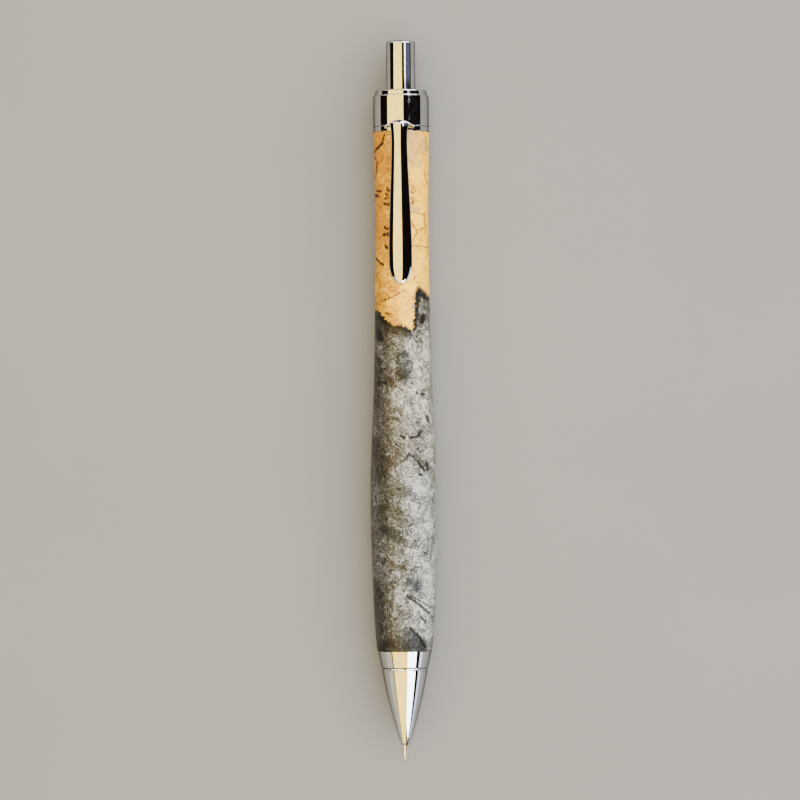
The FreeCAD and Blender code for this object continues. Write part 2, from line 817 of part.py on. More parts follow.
def make_spare_leads(doc):
    """Spare leads that lie round the reservoir's middle, as one group of separate solids."""
    rods = []
    for turn in range(SIZES["spare_lead_count"]):
        angle = 2 * math.pi * (turn / SIZES["spare_lead_count"] + 0.25)
        across = SIZE.spare_lead_offset * math.cos(angle)
        up = SIZE.spare_lead_offset * math.sin(angle)
        name = f"spare_lead_{turn + 1}"
        rods.append(lead(doc, name, SIZE.spare_lead_front, SIZE.spare_lead_length, across, up))
    group = doc.addObject("Part::Compound", "spare_leads")
    group.Label = "spare_leads"
    group.Links = rods
    return group


def make_working_lead(doc):
    return lead(doc, "working_lead", SIZE.lead_front, SIZE.lead_length)


MAKERS = [
    make_barrel_blank, make_barrel_tube, make_nose_coupler, make_nose_cone, make_lead_nozzle,
    make_lead_retainer, make_mechanism_sleeve, make_return_spring, make_chuck, make_clutch_ring,
    make_chuck_adapter, make_lead_reservoir, make_eraser_ferrule, make_eraser, make_push_button,
    make_top_collar, make_rear_coupler, make_clip_ring, make_clip_arm, make_spare_leads, make_working_lead,
]


def check(doc, pieces):
    for thing in doc.Objects:
        if {"Invalid", "Error"} & set(thing.State):
            raise RuntimeError(f"{thing.Label} failed: {thing.State}")
    for piece in pieces:
        if piece.Shape.isNull() or not piece.Shape.isValid() or not piece.Shape.Solids:
            raise RuntimeError(f"{piece.Label} has no valid solid")


def main():
    doc = FreeCAD.newDocument("mechanical_pencil")
    make_sheet(doc)
    pieces = [make(doc) for make in MAKERS]
    doc.recompute()
    check(doc, pieces)
    os.makedirs("parts", exist_ok=True)
    for piece in pieces:
        piece.Shape.exportStep(f"parts/{piece.Label}.step")
        print(f"{piece.Label}: {piece.Shape.Volume:.3f} mm3, {len(piece.Shape.Solids)} solid(s)")


main()
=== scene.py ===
"""Looks of a click-action mechanical pencil: turned burl barrel and bright metal fittings.

The pencil lies along X, lead mouth towards -X, clip upwards. Lengths along it are given in
millimetres from the lead mouth, and radii in millimetres from its axis.
"""

import math
from types import SimpleNamespace

import bmesh
import bpy
from mathutils import Matrix, Vector

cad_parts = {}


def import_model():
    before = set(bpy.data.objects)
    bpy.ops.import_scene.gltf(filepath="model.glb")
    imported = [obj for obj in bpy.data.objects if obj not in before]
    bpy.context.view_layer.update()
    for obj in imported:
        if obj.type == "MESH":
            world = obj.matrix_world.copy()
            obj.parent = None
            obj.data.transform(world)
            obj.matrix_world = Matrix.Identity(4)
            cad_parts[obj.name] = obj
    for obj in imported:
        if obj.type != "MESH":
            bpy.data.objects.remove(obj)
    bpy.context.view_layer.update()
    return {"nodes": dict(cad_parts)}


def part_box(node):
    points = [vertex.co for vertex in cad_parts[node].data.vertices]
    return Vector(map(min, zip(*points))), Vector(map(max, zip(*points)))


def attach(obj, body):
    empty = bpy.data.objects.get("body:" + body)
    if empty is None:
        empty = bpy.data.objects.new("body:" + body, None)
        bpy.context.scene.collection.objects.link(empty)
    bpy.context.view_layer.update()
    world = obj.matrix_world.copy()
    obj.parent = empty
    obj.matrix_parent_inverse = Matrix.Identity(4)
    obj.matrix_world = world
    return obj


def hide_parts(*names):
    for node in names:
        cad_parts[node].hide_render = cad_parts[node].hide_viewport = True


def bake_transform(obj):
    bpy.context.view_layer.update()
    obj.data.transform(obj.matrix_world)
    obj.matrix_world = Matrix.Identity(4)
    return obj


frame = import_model()

MM = 0.001
MOUTH_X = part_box("lead_nozzle")[0].x
AXIS_Z = (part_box("barrel_blank")[0].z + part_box("barrel_blank")[1].z) / 2


def span(node):
    """Front and back of a CAD node, in millimetres from the lead mouth."""
    low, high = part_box(node)
    return (low.x - MOUTH_X) / MM, (high.x - MOUTH_X) / MM


def outer(node):
    """Largest radius of a turned CAD node, in millimetres."""
    low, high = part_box(node)
    return (high.y - low.y) / 2 / MM


def at(along, across, up):
    """Point from millimetres: along from the mouth, across to -Y, up from the axis."""
    return Vector((MOUTH_X + along * MM, -across * MM, AXIS_Z + up * MM))


# ======== Mesh building ========

CORNER_STEPS = 5
# A fillet takes at most this share of a side, and a point close beside it keeps its shading crisp.
FILLET_SHARE = 0.45
EDGE_HOLD, HOLD_SHARE, LEAST_HOLD = 0.03, 0.3, 0.004


def unit(a, b):
    length = math.hypot(b[0] - a[0], b[1] - a[1])
    return ((b[0] - a[0]) / length, (b[1] - a[1]) / length), length


def rounded_corner(before, corner, after, radius):
    """Points of a small fillet at a corner, held by one point on each side of it."""
    (ux, uy), first = unit(corner, before)
    (vx, vy), second = unit(corner, after)
    turn = math.acos(max(-1.0, min(1.0, ux * vx + uy * vy)))
    if radius <= 0 or turn > math.pi - 0.02:
        return [corner]
    reach = min(radius / math.tan(turn / 2), first * FILLET_SHARE, second * FILLET_SHARE)
    radius = reach * math.tan(turn / 2)
    middle = radius / math.sin(turn / 2)
    half = unit((0, 0), (ux + vx, uy + vy))[0]
    centre = (corner[0] + half[0] * middle, corner[1] + half[1] * middle)
    start = (corner[0] + ux * reach, corner[1] + uy * reach)
    end = (corner[0] + vx * reach, corner[1] + vy * reach)
    a0 = math.atan2(start[1] - centre[1], start[0] - centre[0])
    a1 = math.atan2(end[1] - centre[1], end[0] - centre[0])
    sweep = (a1 - a0 + math.pi) % (2 * math.pi) - math.pi
    points = []
    hold = min(EDGE_HOLD, (first - reach) * HOLD_SHARE)
    if hold > LEAST_HOLD:
        points.append((start[0] + ux * hold, start[1] + uy * hold))
    for step in range(CORNER_STEPS + 1):
        angle = a0 + sweep * step / CORNER_STEPS
        points.append((centre[0] + radius * math.cos(angle), centre[1] + radius * math.sin(angle)))
    hold = min(EDGE_HOLD, (second - reach) * HOLD_SHARE)
    if hold > LEAST_HOLD:
        points.append((end[0] + vx * hold, end[1] + vy * hold))
    return points


def rounded_loop(corners, closed=True):
    """Profile of (along, radius) points from corners of (along, radius, fillet)."""
    count = len(corners)
    points = []
    for index, (along, radius, fillet) in enumerate(corners):
        if not closed and index in (0, count - 1):
            points.append((along, radius))
            continue
        before, after = corners[index - 1], corners[(index + 1) % count]
        points += rounded_corner(before[:2], (along, radius), after[:2], fillet)
    return points


def mesh_object(name, builder):
    """Object from a bmesh, smooth shaded, with its normals pointing out."""
    bmesh.ops.recalc_face_normals(builder, faces=builder.faces)
    mesh = bpy.data.meshes.new(name)
    builder.to_mesh(mesh)
    builder.free()
    mesh.shade_smooth()
    thing = bpy.data.objects.new(name, mesh)
    bpy.context.scene.collection.objects.link(thing)
    return thing


def add_ring(builder, along, radius, steps, wave=None):
    """Ring of vertices round the axis, or one vertex where the radius is nothing."""
    if radius < 1e-6:
        return [builder.verts.new(at(along, 0, 0))]
    ring = []
    for step in range(steps):
        angle = 2 * math.pi * step / steps
        reach = radius + (wave(along, angle) if wave else 0.0)
        ring.append(builder.verts.new(at(along, reach * math.sin(angle), reach * math.cos(angle))))
    return ring


def bridge(builder, first, second):
    """Faces between two rings, either of which may be a single vertex."""
    steps = max(len(first), len(second))
    for step in range(steps):
        nxt = (step + 1) % steps
        if len(first) == 1:
            builder.faces.new((first[0], second[step], second[nxt]))
        elif len(second) == 1:
            builder.faces.new((first[step], second[0], first[nxt]))
        else:
            builder.faces.new((first[step], second[step], second[nxt], first[nxt]))


def skin(builder, rings, loop=False, capped=False):
    """Faces from each ring to the next, back to the first in a loop, and over both ends if capped."""
    for first, second in zip(rings, rings[1:] + rings[:1] if loop else rings[1:]):
        bridge(builder, first, second)
    for end in (rings[0], rings[-1]) if capped else ():
        builder.faces.new(end)


def turned(name, profile, steps, role, closed=True, wave=None):
    """Turned piece: a profile swept once round the axis. Its role is its body, material and CAD node."""
    builder = bmesh.new()
    rings = [add_ring(builder, along, radius, steps, wave) for along, radius in profile]
    skin(builder, rings, loop=closed)
    finish_piece(mesh_object(name, builder), *role)


def finish_piece(thing, body, material, *nodes):
    """Rides a piece on its body, in place of CAD nodes, with its material, which is its slot too."""
    thing.data.materials.append(MATERIALS[material])
    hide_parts(*nodes)
    if body:
        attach(thing, body)


# ======== Node helpers ========


class Nodes:
    """Short ways to add nodes to one material."""

    def __init__(self, name):
        self.material = bpy.data.materials.new(name)
        self.material.use_nodes = True
        self.tree = self.material.node_tree
        self.tree.nodes.clear()

    def add(self, kind, settings=None, inputs=None):
        node = self.tree.nodes.new(kind)
        for key, value in (settings or {}).items():
            setattr(node, key, value)
        for key, value in (inputs or {}).items():
            self.put(node.inputs[key], value)
        return node

    def put(self, socket, value):
        if isinstance(value, bpy.types.NodeSocket):
            self.tree.links.new(value, socket)
        elif value is not None:
            socket.default_value = value

    def math(self, operation, a, b=None, c=None):
        return self.add("ShaderNodeMath", {"operation": operation}, {0: a, 1: b, 2: c}).outputs[0]

    def times(self, a, b):
        return self.math("MULTIPLY", a, b)

    def minus(self, a, b):
        return self.math("SUBTRACT", a, b)

    def scaled(self, a, factor, offset):
        """a times factor plus offset."""
        return self.math("MULTIPLY_ADD", a, factor, offset)

    def vector(self, operation, a, b=None, scale=None):
        node = self.add("ShaderNodeVectorMath", {"operation": operation}, {0: a, 1: b})
        if scale is not None:
            self.put(node.inputs["Scale"], scale)
        return node.outputs["Value" if operation in ("DOT_PRODUCT", "LENGTH") else "Vector"]

    def step(self, value, low, high, to_low=0.0, to_high=1.0):
        """Smooth step of a value from low to high."""
        inputs = {"Value": value, 1: low, 2: high, 3: to_low, 4: to_high}
        return self.add("ShaderNodeMapRange", {"interpolation_type": "SMOOTHSTEP"}, inputs).outputs[0]

    def noise(self, where, scale, detail=4.0, rough=0.5, warp=0.0, colour=False):
        inputs = {"Vector": where, "Scale": scale, "Detail": detail, "Roughness": rough}
        inputs["Distortion"] = warp
        node = self.add("ShaderNodeTexNoise", {"noise_type": "FBM"}, inputs)
        return node.outputs["Color" if colour else 0]

    def cloud(self, *settings):
        return self.noise(self.place(), *settings)

    def cells(self, where, scale):
        """Distance from the nearest of a field of scattered points."""
        inputs = {"Vector": where, "Scale": scale, "Randomness": 1.0}
        return self.add("ShaderNodeTexVoronoi", {"feature": "F1"}, inputs).outputs["Distance"]

    def mix(self, share, a, b, blend="MIX"):
        """Colour mix."""
        settings = {"data_type": "RGBA", "blend_type": blend, "clamp_factor": True}
        node = self.add("ShaderNodeMix", settings)
        self.put(node.inputs[0], share)
        self.put(node.inputs[6], opaque(a))
        self.put(node.inputs[7], opaque(b))
        return node.outputs[2]

    def ramp(self, value, *stops):
        """Colour ramp from (place, colour) stops."""
        node = self.add("ShaderNodeValToRGB", inputs={0: value})
        elements = node.color_ramp.elements
        while len(elements) < len(stops):
            elements.new(0.5)
        for element, (place, colour) in zip(elements, stops):
            element.position = place
            element.color = opaque(colour)
        return node.outputs[0]

    def curve(self, value, points):
        """Float curve through (in, out) points between 0 and 1."""
        node = self.add("ShaderNodeFloatCurve", inputs={"Value": value})
        line = node.mapping.curves[0]
        while len(line.points) < len(points):
            line.points.new(0.5, 0.5)
        for point, (x, y) in zip(line.points, points):
            point.location = (x, y)
            point.handle_type = "VECTOR"
        node.mapping.update()
        return node.outputs[0]

    def place(self, stretch=(1.0, 1.0, 1.0), shift=(0.0, 0.0, 0.0)):
        """Object coordinates in millimetres: along the pencil, across to the right and up."""
        spot = self.add("ShaderNodeTexCoord").outputs["Object"]
        inputs = {
            "Vector": spot,
            "Location": (-MOUTH_X / MM + shift[0], shift[1], -AXIS_Z / MM + shift[2]),
            "Scale": (stretch[0] / MM, -stretch[1] / MM, stretch[2] / MM),
        }
        return self.add("ShaderNodeMapping", {"vector_type": "POINT"}, inputs).outputs[0]

    def bump(self, height, strength, depth, normal=None):
        inputs = {"Height": height, "Strength": strength, "Distance": depth * MM, "Normal": normal}
        return self.add("ShaderNodeBump", None, inputs).outputs[0]

    def surface(self, **inputs):
        """Principled surface. Names use _ for a space."""
        shader = self.add("ShaderNodeBsdfPrincipled")
        for key, value in inputs.items():
            socket = shader.inputs[key.replace("_", " ")]
            colour = isinstance(value, tuple) and len(value) == 3 and socket.type == "RGBA"
            self.put(socket, opaque(value) if colour else value)
        output = self.add("ShaderNodeOutputMaterial")
        self.tree.links.new(shader.outputs[0], output.inputs["Surface"])
        return self.material


def opaque(colour):
    return (*colour, 1.0) if isinstance(colour, tuple) and len(colour) == 3 else colour


# ======== Wood ========

# Where the golden wood ends, as (across, along) in millimetres, seen from above.
GOLD_EDGE = [
    (-6.5, 87.6), (-5.4, 87.4), (-4.2, 87.2), (-3.4, 86.2), (-2.8, 85.2), (-2.05, 85.0),
    (-1.5, 84.2), (0.1, 84.5), (0.9, 84.0), (1.6, 83.6), (2.2, 83.1), (2.4, 85.4),
    (2.55, 89.6), (2.9, 91.4), (3.3, 92.2), (4.2, 91.4), (5.2, 90.3), (6.5, 89.4),
]
EDGE_LOW, EDGE_HIGH = 80.0, 95.0
EDGE_DRIFT, EDGE_RAG = 3.6, 2.6
UNDERSIDE_EDGE, UNDERSIDE_WAVE = 82.5, 9.0

# Colours of each wood from its darkest to its palest tone.
GOLD_TONES = [
    (0.0, (0.016, 0.006, 0.002)), (0.2, (0.085, 0.028, 0.003)), (0.4, (0.29, 0.105, 0.003)),
    (0.6, (0.54, 0.232, 0.003)), (0.8, (0.82, 0.400, 0.004)), (1.0, (0.98, 0.585, 0.022)),
]
GREY_TONES = [
    (0.0, (0.004, 0.003, 0.002)), (0.2, (0.013, 0.010, 0.006)), (0.4, (0.037, 0.0295, 0.020)),
    (0.6, (0.070, 0.062, 0.049)), (0.8, (0.142, 0.135, 0.112)), (1.0, (0.43, 0.42, 0.355)),
]

# Marks in the wood: cracks, specks, deep orange and pinkish patches, fine lines, then the grey wood's
# dark streaks and its shaded, bluish and pale patches. A row is the start (across, along), the end
# (across, along) and the width, in millimetres. A ring's row is its centre (across, along), its half
# sizes (across, along) and its line's width as a share of them.
GOLD_CRACKS = [
    (-3.0, 121.4, -3.4, 119.9, 0.14), (-3.4, 119.9, -4.2, 119.1, 0.18),
    (-4.2, 119.1, -5.2, 118.3, 0.16), (-5.1, 117.2, -4.5, 116.1, 0.09),
    (-4.5, 116.1, -4.7, 114.6, 0.09), (-4.7, 114.6, -5.0, 113.2, 0.07), (-5.0, 97.5, -4.3, 96.7, 0.11),
    (-4.3, 96.7, -3.5, 96.1, 0.14), (-3.1, 86.7, -2.0, 86.5, 0.11),
]
GOLD_SPOTS = [
    (-2.6, 111.0, -2.3, 110.6, 0.23), (-2.8, 110.0, -2.5, 109.6, 0.2), (-2.9, 109.0, -2.4, 109.1, 0.18),
    (-3.0, 107.9, -2.3, 107.8, 0.27), (-5.1, 109.9, -4.3, 109.6, 0.26),
    (-4.6, 110.6, -3.9, 110.5, 0.18), (-3.2, 103.5, -3.0, 103.3, 0.2), (-2.7, 103.1, -2.3, 103.2, 0.21),
    (-3.3, 102.0, -3.1, 101.9, 0.23), (-2.6, 102.1, -2.4, 101.7, 0.23), (-2.9, 99.8, -2.7, 99.4, 0.23),
]
GOLD_DEEP = [
    (-4.3, 120.0, -3.2, 115.8, 1.5), (-4.2, 106.0, -3.2, 101.6, 1.2), (-4.9, 112.0, -4.0, 108.6, 0.8),
    (-2.0, 85.9, -0.9, 84.9, 0.7),
]
GOLD_PINK = [
    (2.1, 121.2, 3.9, 119.2, 1.3), (2.4, 117.4, 3.0, 115.9, 0.9), (1.9, 107.0, 3.2, 106.8, 0.5),
]
GOLD_LINES = [
    (1.9, 106.3, 5.2, 105.8, 0.09), (2.2, 104.1, 3.2, 102.6, 0.09), (3.2, 102.6, 2.3, 100.6, 0.09),
    (3.4, 102.7, 4.9, 103.6, 0.09), (2.0, 99.8, 5.1, 99.6, 0.09), (4.4, 106.6, 4.7, 102.0, 0.09),
    (4.6, 114.0, 5.1, 112.0, 0.1), (5.0, 121.0, 5.2, 118.4, 0.1), (-3.5, 89.1, -1.5, 89.9, 0.12),
    (-1.5, 89.9, 1.0, 91.2, 0.1),
]
GOLD_RINGS = [
    (2.5, 110.6, 0.34, 0.58, 0.75), (2.3, 108.6, 0.28, 0.52, 0.85),
]
GREY_DARK = [
    (-5.2, 86.4, -4.0, 85.7, 0.28), (-4.0, 85.7, -2.7, 84.6, 0.3), (-2.7, 84.6, -1.0, 84.1, 0.25),
    (-0.6, 84.0, 1.6, 83.2, 0.25), (2.7, 83.6, 3.0, 88.6, 0.25), (3.0, 88.6, 3.4, 91.2, 0.33),
    (4.0, 90.2, 5.0, 89.4, 0.25), (-4.6, 83.4, -4.2, 81.6, 0.38), (4.4, 86.4, 4.0, 85.0, 0.28),
    (-4.6, 73.4, -3.0, 73.1, 0.14), (3.8, 71.0, 4.3, 70.8, 0.18), (2.8, 71.4, 3.1, 71.0, 0.12),
    (-0.2, 62.8, 0.5, 62.4, 0.19), (1.6, 62.5, 3.1, 62.7, 0.19), (3.1, 62.7, 3.6, 63.8, 0.18),
    (4.8, 66.6, 5.1, 65.5, 0.2), (-1.2, 61.3, -0.7, 60.9, 0.14), (2.9, 60.3, 3.5, 59.6, 0.12),
    (0.4, 58.1, 1.5, 59.4, 0.14), (1.5, 59.4, 3.4, 57.4, 0.09), (3.4, 57.4, 4.4, 55.9, 0.13),
    (3.3, 55.5, 3.6, 55.1, 0.2), (4.7, 57.6, 4.9, 56.2, 0.12), (0.8, 31.8, 2.8, 30.4, 0.15),
    (2.8, 30.4, 4.9, 28.5, 0.2), (1.4, 32.0, 3.4, 30.8, 0.09), (3.4, 30.8, 5.3, 29.4, 0.11),
    (3.3, 27.7, 4.2, 26.8, 0.16), (1.2, 25.6, 2.8, 24.1, 0.11), (2.8, 24.1, 4.1, 21.9, 0.18),
    (4.0, 40.3, 4.7, 39.8, 0.12), (0.3, 37.3, 0.6, 36.7, 0.12), (-3.4, 47.0, -2.8, 46.6, 0.12),
    (-0.8, 52.6, -0.2, 52.3, 0.11), (1.2, 45.2, 1.9, 45.6, 0.11),
]
GREY_SHADE = [
    (4.3, 89.6, 4.2, 84.4, 1.1), (-4.8, 85.3, -3.6, 82.6, 1.2), (-1.2, 83.2, 1.6, 82.6, 0.6),
    (-5.2, 77.5, -5.2, 70.0, 0.9), (2.8, 58.8, 4.4, 56.4, 0.5), (-5.0, 60.5, -3.6, 55.5, 1.1),
    (-3.6, 48.6, 0.4, 47.0, 0.8), (-5.4, 34.0, -4.6, 22.0, 1.0), (0.0, 42.6, 2.0, 41.6, 0.6),
]
GREY_BLUE = [
    (0.3, 78.4, 0.5, 74.8, 1.0), (-0.4, 22.6, 2.8, 22.3, 1.25), (1.0, 24.8, 2.2, 23.8, 0.7),
    (1.5, 34.4, 3.0, 33.4, 0.8), (-3.0, 44.5, -1.0, 43.2, 0.9),
]
GREY_PALE = [
    (-0.6, 82.0, 1.4, 80.8, 0.7), (2.4, 79.5, 4.2, 73.4, 1.0), (3.0, 71.6, 4.4, 66.0, 0.8),
    (-4.7, 80.0, -3.9, 78.6, 0.7), (-1.2, 70.8, 1.6, 66.0, 0.9), (-0.9, 65.0, 2.8, 64.4, 0.3),
    (0.9, 56.4, 3.3, 52.6, 1.0), (-5.6, 49.6, -3.0, 50.0, 0.14), (-3.0, 50.0, 1.4, 50.9, 0.17),
    (0.8, 49.4, 4.8, 47.4, 0.9), (-5.2, 40.2, -3.8, 39.6, 0.12), (-3.8, 39.6, -2.6, 40.4, 0.12),
    (-2.6, 40.4, -1.2, 39.4, 0.12), (-2.4, 37.4, -1.2, 37.0, 0.14), (1.6, 40.4, 4.4, 36.6, 1.0),
    (-2.4, 35.0, -1.0, 36.6, 0.3), (1.0, 31.0, 4.4, 28.0, 0.12), (2.2, 28.6, 4.6, 24.4, 0.9),
    (4.6, 36.0, 4.4, 29.0, 0.8), (3.5, 87.4, 4.4, 86.2, 0.16), (4.6, 84.4, 4.8, 78.0, 0.5),
    (-0.4, 72.6, 2.2, 71.6, 0.3),
]
GREY_RINGS = [
    (2.8, 39.2, 0.45, 0.42, 0.4), (3.9, 40.0, 0.42, 0.36, 0.4), (3.0, 37.8, 0.6, 0.42, 0.35),
    (0.4, 38.0, 0.3, 0.28, 0.5), (1.7, 39.8, 0.36, 0.4, 0.4), (0.5, 76.6, 1.5, 2.3, 0.16),
    (-3.2, 46.3, 0.26, 0.24, 0.5), (-4.0, 45.2, 0.22, 0.24, 0.5), (2.1, 54.6, 0.3, 0.26, 0.5),
]


def joined(nodes, spots, masks):
    """The masks together, on the upper side of the barrel only."""
    total = masks[0]
    for one in masks[1:]:
        total = nodes.math("MAXIMUM", total, one)
    return nodes.times(total, spots.top)


def ring(nodes, spots, across, along, half_across, half_along, width):
    """Mask of one oval outline."""
    away = nodes.vector("SUBTRACT", spots.flat, (along, across, 0.0))
    away = nodes.vector("DIVIDE", away, (half_along, half_across, 1.0))
    off = nodes.scaled(spots.rag, 0.8, nodes.minus(nodes.vector("LENGTH", away), 1.0))
    return nodes.step(nodes.math("ABSOLUTE", off), width, 0.0)


def mark(nodes, spots, start_across, start_along, end_across, end_along, width):
    """Mask of one stroke: 1 along its line, with a ragged border about its width away."""
    across, along = end_across - start_across, end_along - start_along
    square = max(across ** 2 + along ** 2, 1e-6)
    away = nodes.vector("SUBTRACT", spots.flat, (start_along, start_across, 0.0))
    share = nodes.vector("DOT_PRODUCT", away, (along / square, across / square, 0.0))
    share = nodes.math("MINIMUM", nodes.math("MAXIMUM", share, 0.0), 1.0)
    nearest = nodes.vector("SCALE", (along, across, 0.0), scale=share)
    distance = nodes.vector("LENGTH", nodes.vector("SUBTRACT", away, nearest))
    distance = nodes.scaled(spots.rag, width * 2.4, distance)
    return nodes.step(distance, width * 0.8, width * 1.8, 1.0, 0.0)


def marks(nodes, spots, strokes):
    return joined(nodes, spots, [mark(nodes, spots, *stroke) for stroke in strokes])


def ring_marks(nodes, spots, rings):
    return joined(nodes, spots, [ring(nodes, spots, *one) for one in rings])


def wood_places(nodes):
    """The coordinates that the wood's patterns share."""
    plain = nodes.place()
    parts = nodes.add("ShaderNodeSeparateXYZ", None, {0: plain})
    along, across, up = parts.outputs
    top = nodes.step(up, -0.6, 0.8)
    broad = nodes.vector("SUBTRACT", nodes.noise(plain, 0.30, 3.0, 0.5, colour=True), (0.5, 0.5, 0.5))
    small = nodes.vector("SUBTRACT", nodes.noise(plain, 1.3, 5.0, 0.65, colour=True), (0.5, 0.5, 0.5))
    flat = nodes.add("ShaderNodeCombineXYZ", None, {0: along, 1: across}).outputs[0]
    flat = nodes.vector("ADD", flat, nodes.vector("MULTIPLY", small, (0.9, 0.9, 0.0)))
    warped = nodes.vector("ADD", plain, nodes.vector("SCALE", broad, scale=5.0))
    warped = nodes.vector("ADD", warped, nodes.vector("SCALE", small, scale=0.9))
    rag = nodes.minus(nodes.noise(plain, 2.6, 5.0, 0.7), 0.5)
    return SimpleNamespace(
        plain=plain, warped=warped, flat=flat, along=along, across=across, top=top, rag=rag
    )


def golden_border(nodes, spots):
    """Distance into the golden wood from its ragged border, in millimetres."""
    width = GOLD_EDGE[-1][0] - GOLD_EDGE[0][0]
    drift = nodes.noise(spots.plain, 1.5, 6.0, 0.75)
    place = nodes.scaled(drift, EDGE_DRIFT, nodes.minus(spots.across, EDGE_DRIFT / 2))
    place = nodes.scaled(place, 1 / width, 0.5)
    height = EDGE_HIGH - EDGE_LOW
    points = [((x - GOLD_EDGE[0][0]) / width, (y - EDGE_LOW) / height) for x, y in GOLD_EDGE]
    edge = nodes.scaled(nodes.curve(place, points), height, EDGE_LOW)
    below = nodes.noise(spots.plain, 0.22, 3.0, 0.5)
    below = nodes.scaled(below, UNDERSIDE_WAVE, UNDERSIDE_EDGE)
    under = nodes.minus(1.0, spots.top)
    shift = nodes.times(nodes.minus(below, edge), under)
    edge = nodes.math("ADD", edge, shift)
    edge = nodes.scaled(spots.rag, EDGE_RAG, edge)
    return nodes.minus(spots.along, edge)


def swirls(nodes, where, scale, turns):
    """Fine curved lines that follow the figure: 1 on a line, 0 between lines."""
    field = nodes.noise(where, scale, 2.0, 0.45, 0.9)
    wave = nodes.math("SINE", nodes.times(field, turns))
    return nodes.step(nodes.math("ABSOLUTE", wave), 0.32, 0.0)


def add_tone(nodes, tone, share, amount):
    return nodes.scaled(share, amount, tone)


def golden_wood(nodes, spots):
    """Golden burl: orange to cream, with cracks, brown specks and fine curved lines; the cream towards
    the right and deeper orange towards the left are partly painted side light.
    """
    plain, warped = spots.plain, spots.warped
    lean = nodes.scaled(nodes.noise(plain, 0.5, 3.0, 0.5), 3.0, -1.5)
    # Paler towards the right, deeper orange towards the left: partly the wood's own tone, partly painted
    # side light and sheen from the right.
    tone = nodes.step(nodes.math("ADD", spots.across, lean), -4.6, 2.0, 0.65, 0.88)
    cloud = nodes.noise(warped, 0.40, 4.0, 0.6)
    tone = add_tone(nodes, tone, nodes.minus(cloud, 0.5), 0.90)
    grain = nodes.noise(nodes.vector("MULTIPLY", warped, (2.2, 0.9, 0.9)), 1.5, 5.0, 0.7)
    tone = add_tone(nodes, tone, nodes.minus(grain, 0.5), 1.9)
    patchy = nodes.step(nodes.noise(plain, 0.45, 3.0), 0.42, 0.60, 0.1, 1.0)
    for offset, turns, amount in (((4.0, 1.0, 2.0), 30.0, -0.42), ((1.0, 7.0, 5.0), 54.0, -0.26)):
        lines = swirls(nodes, nodes.vector("ADD", warped, offset), 0.5, turns)
        tone = add_tone(nodes, tone, nodes.times(lines, patchy), amount)
    for strokes, amount in ((GOLD_LINES, -0.48), (GOLD_SPOTS, -0.58), (GOLD_CRACKS, -0.85)):
        tone = add_tone(nodes, tone, marks(nodes, spots, strokes), amount)
    tone = add_tone(nodes, tone, ring_marks(nodes, spots, GOLD_RINGS), -0.50)
    speck = nodes.cells(nodes.vector("ADD", warped, (3.0, 9.0, 1.0)), 0.75)
    rare = nodes.step(nodes.noise(plain, 0.16, 2.0), 0.48, 0.62)
    hidden = nodes.minus(1.0, nodes.times(spots.top, 0.8))
    mask = nodes.times(nodes.step(speck, 0.2, 0.1), nodes.times(rare, hidden))
    tone = add_tone(nodes, tone, mask, -0.45)
    colour = nodes.ramp(tone, *GOLD_TONES)
    for strokes, tint, share in (
        (GOLD_DEEP, (0.50, 0.165, 0.004), 0.55), (GOLD_PINK, (0.34, 0.215, 0.11), 0.55),
    ):
        mask = nodes.times(marks(nodes, spots, strokes), nodes.step(tone, 0.25, 0.5))
        colour = nodes.mix(nodes.times(mask, share), colour, tint)
    return colour


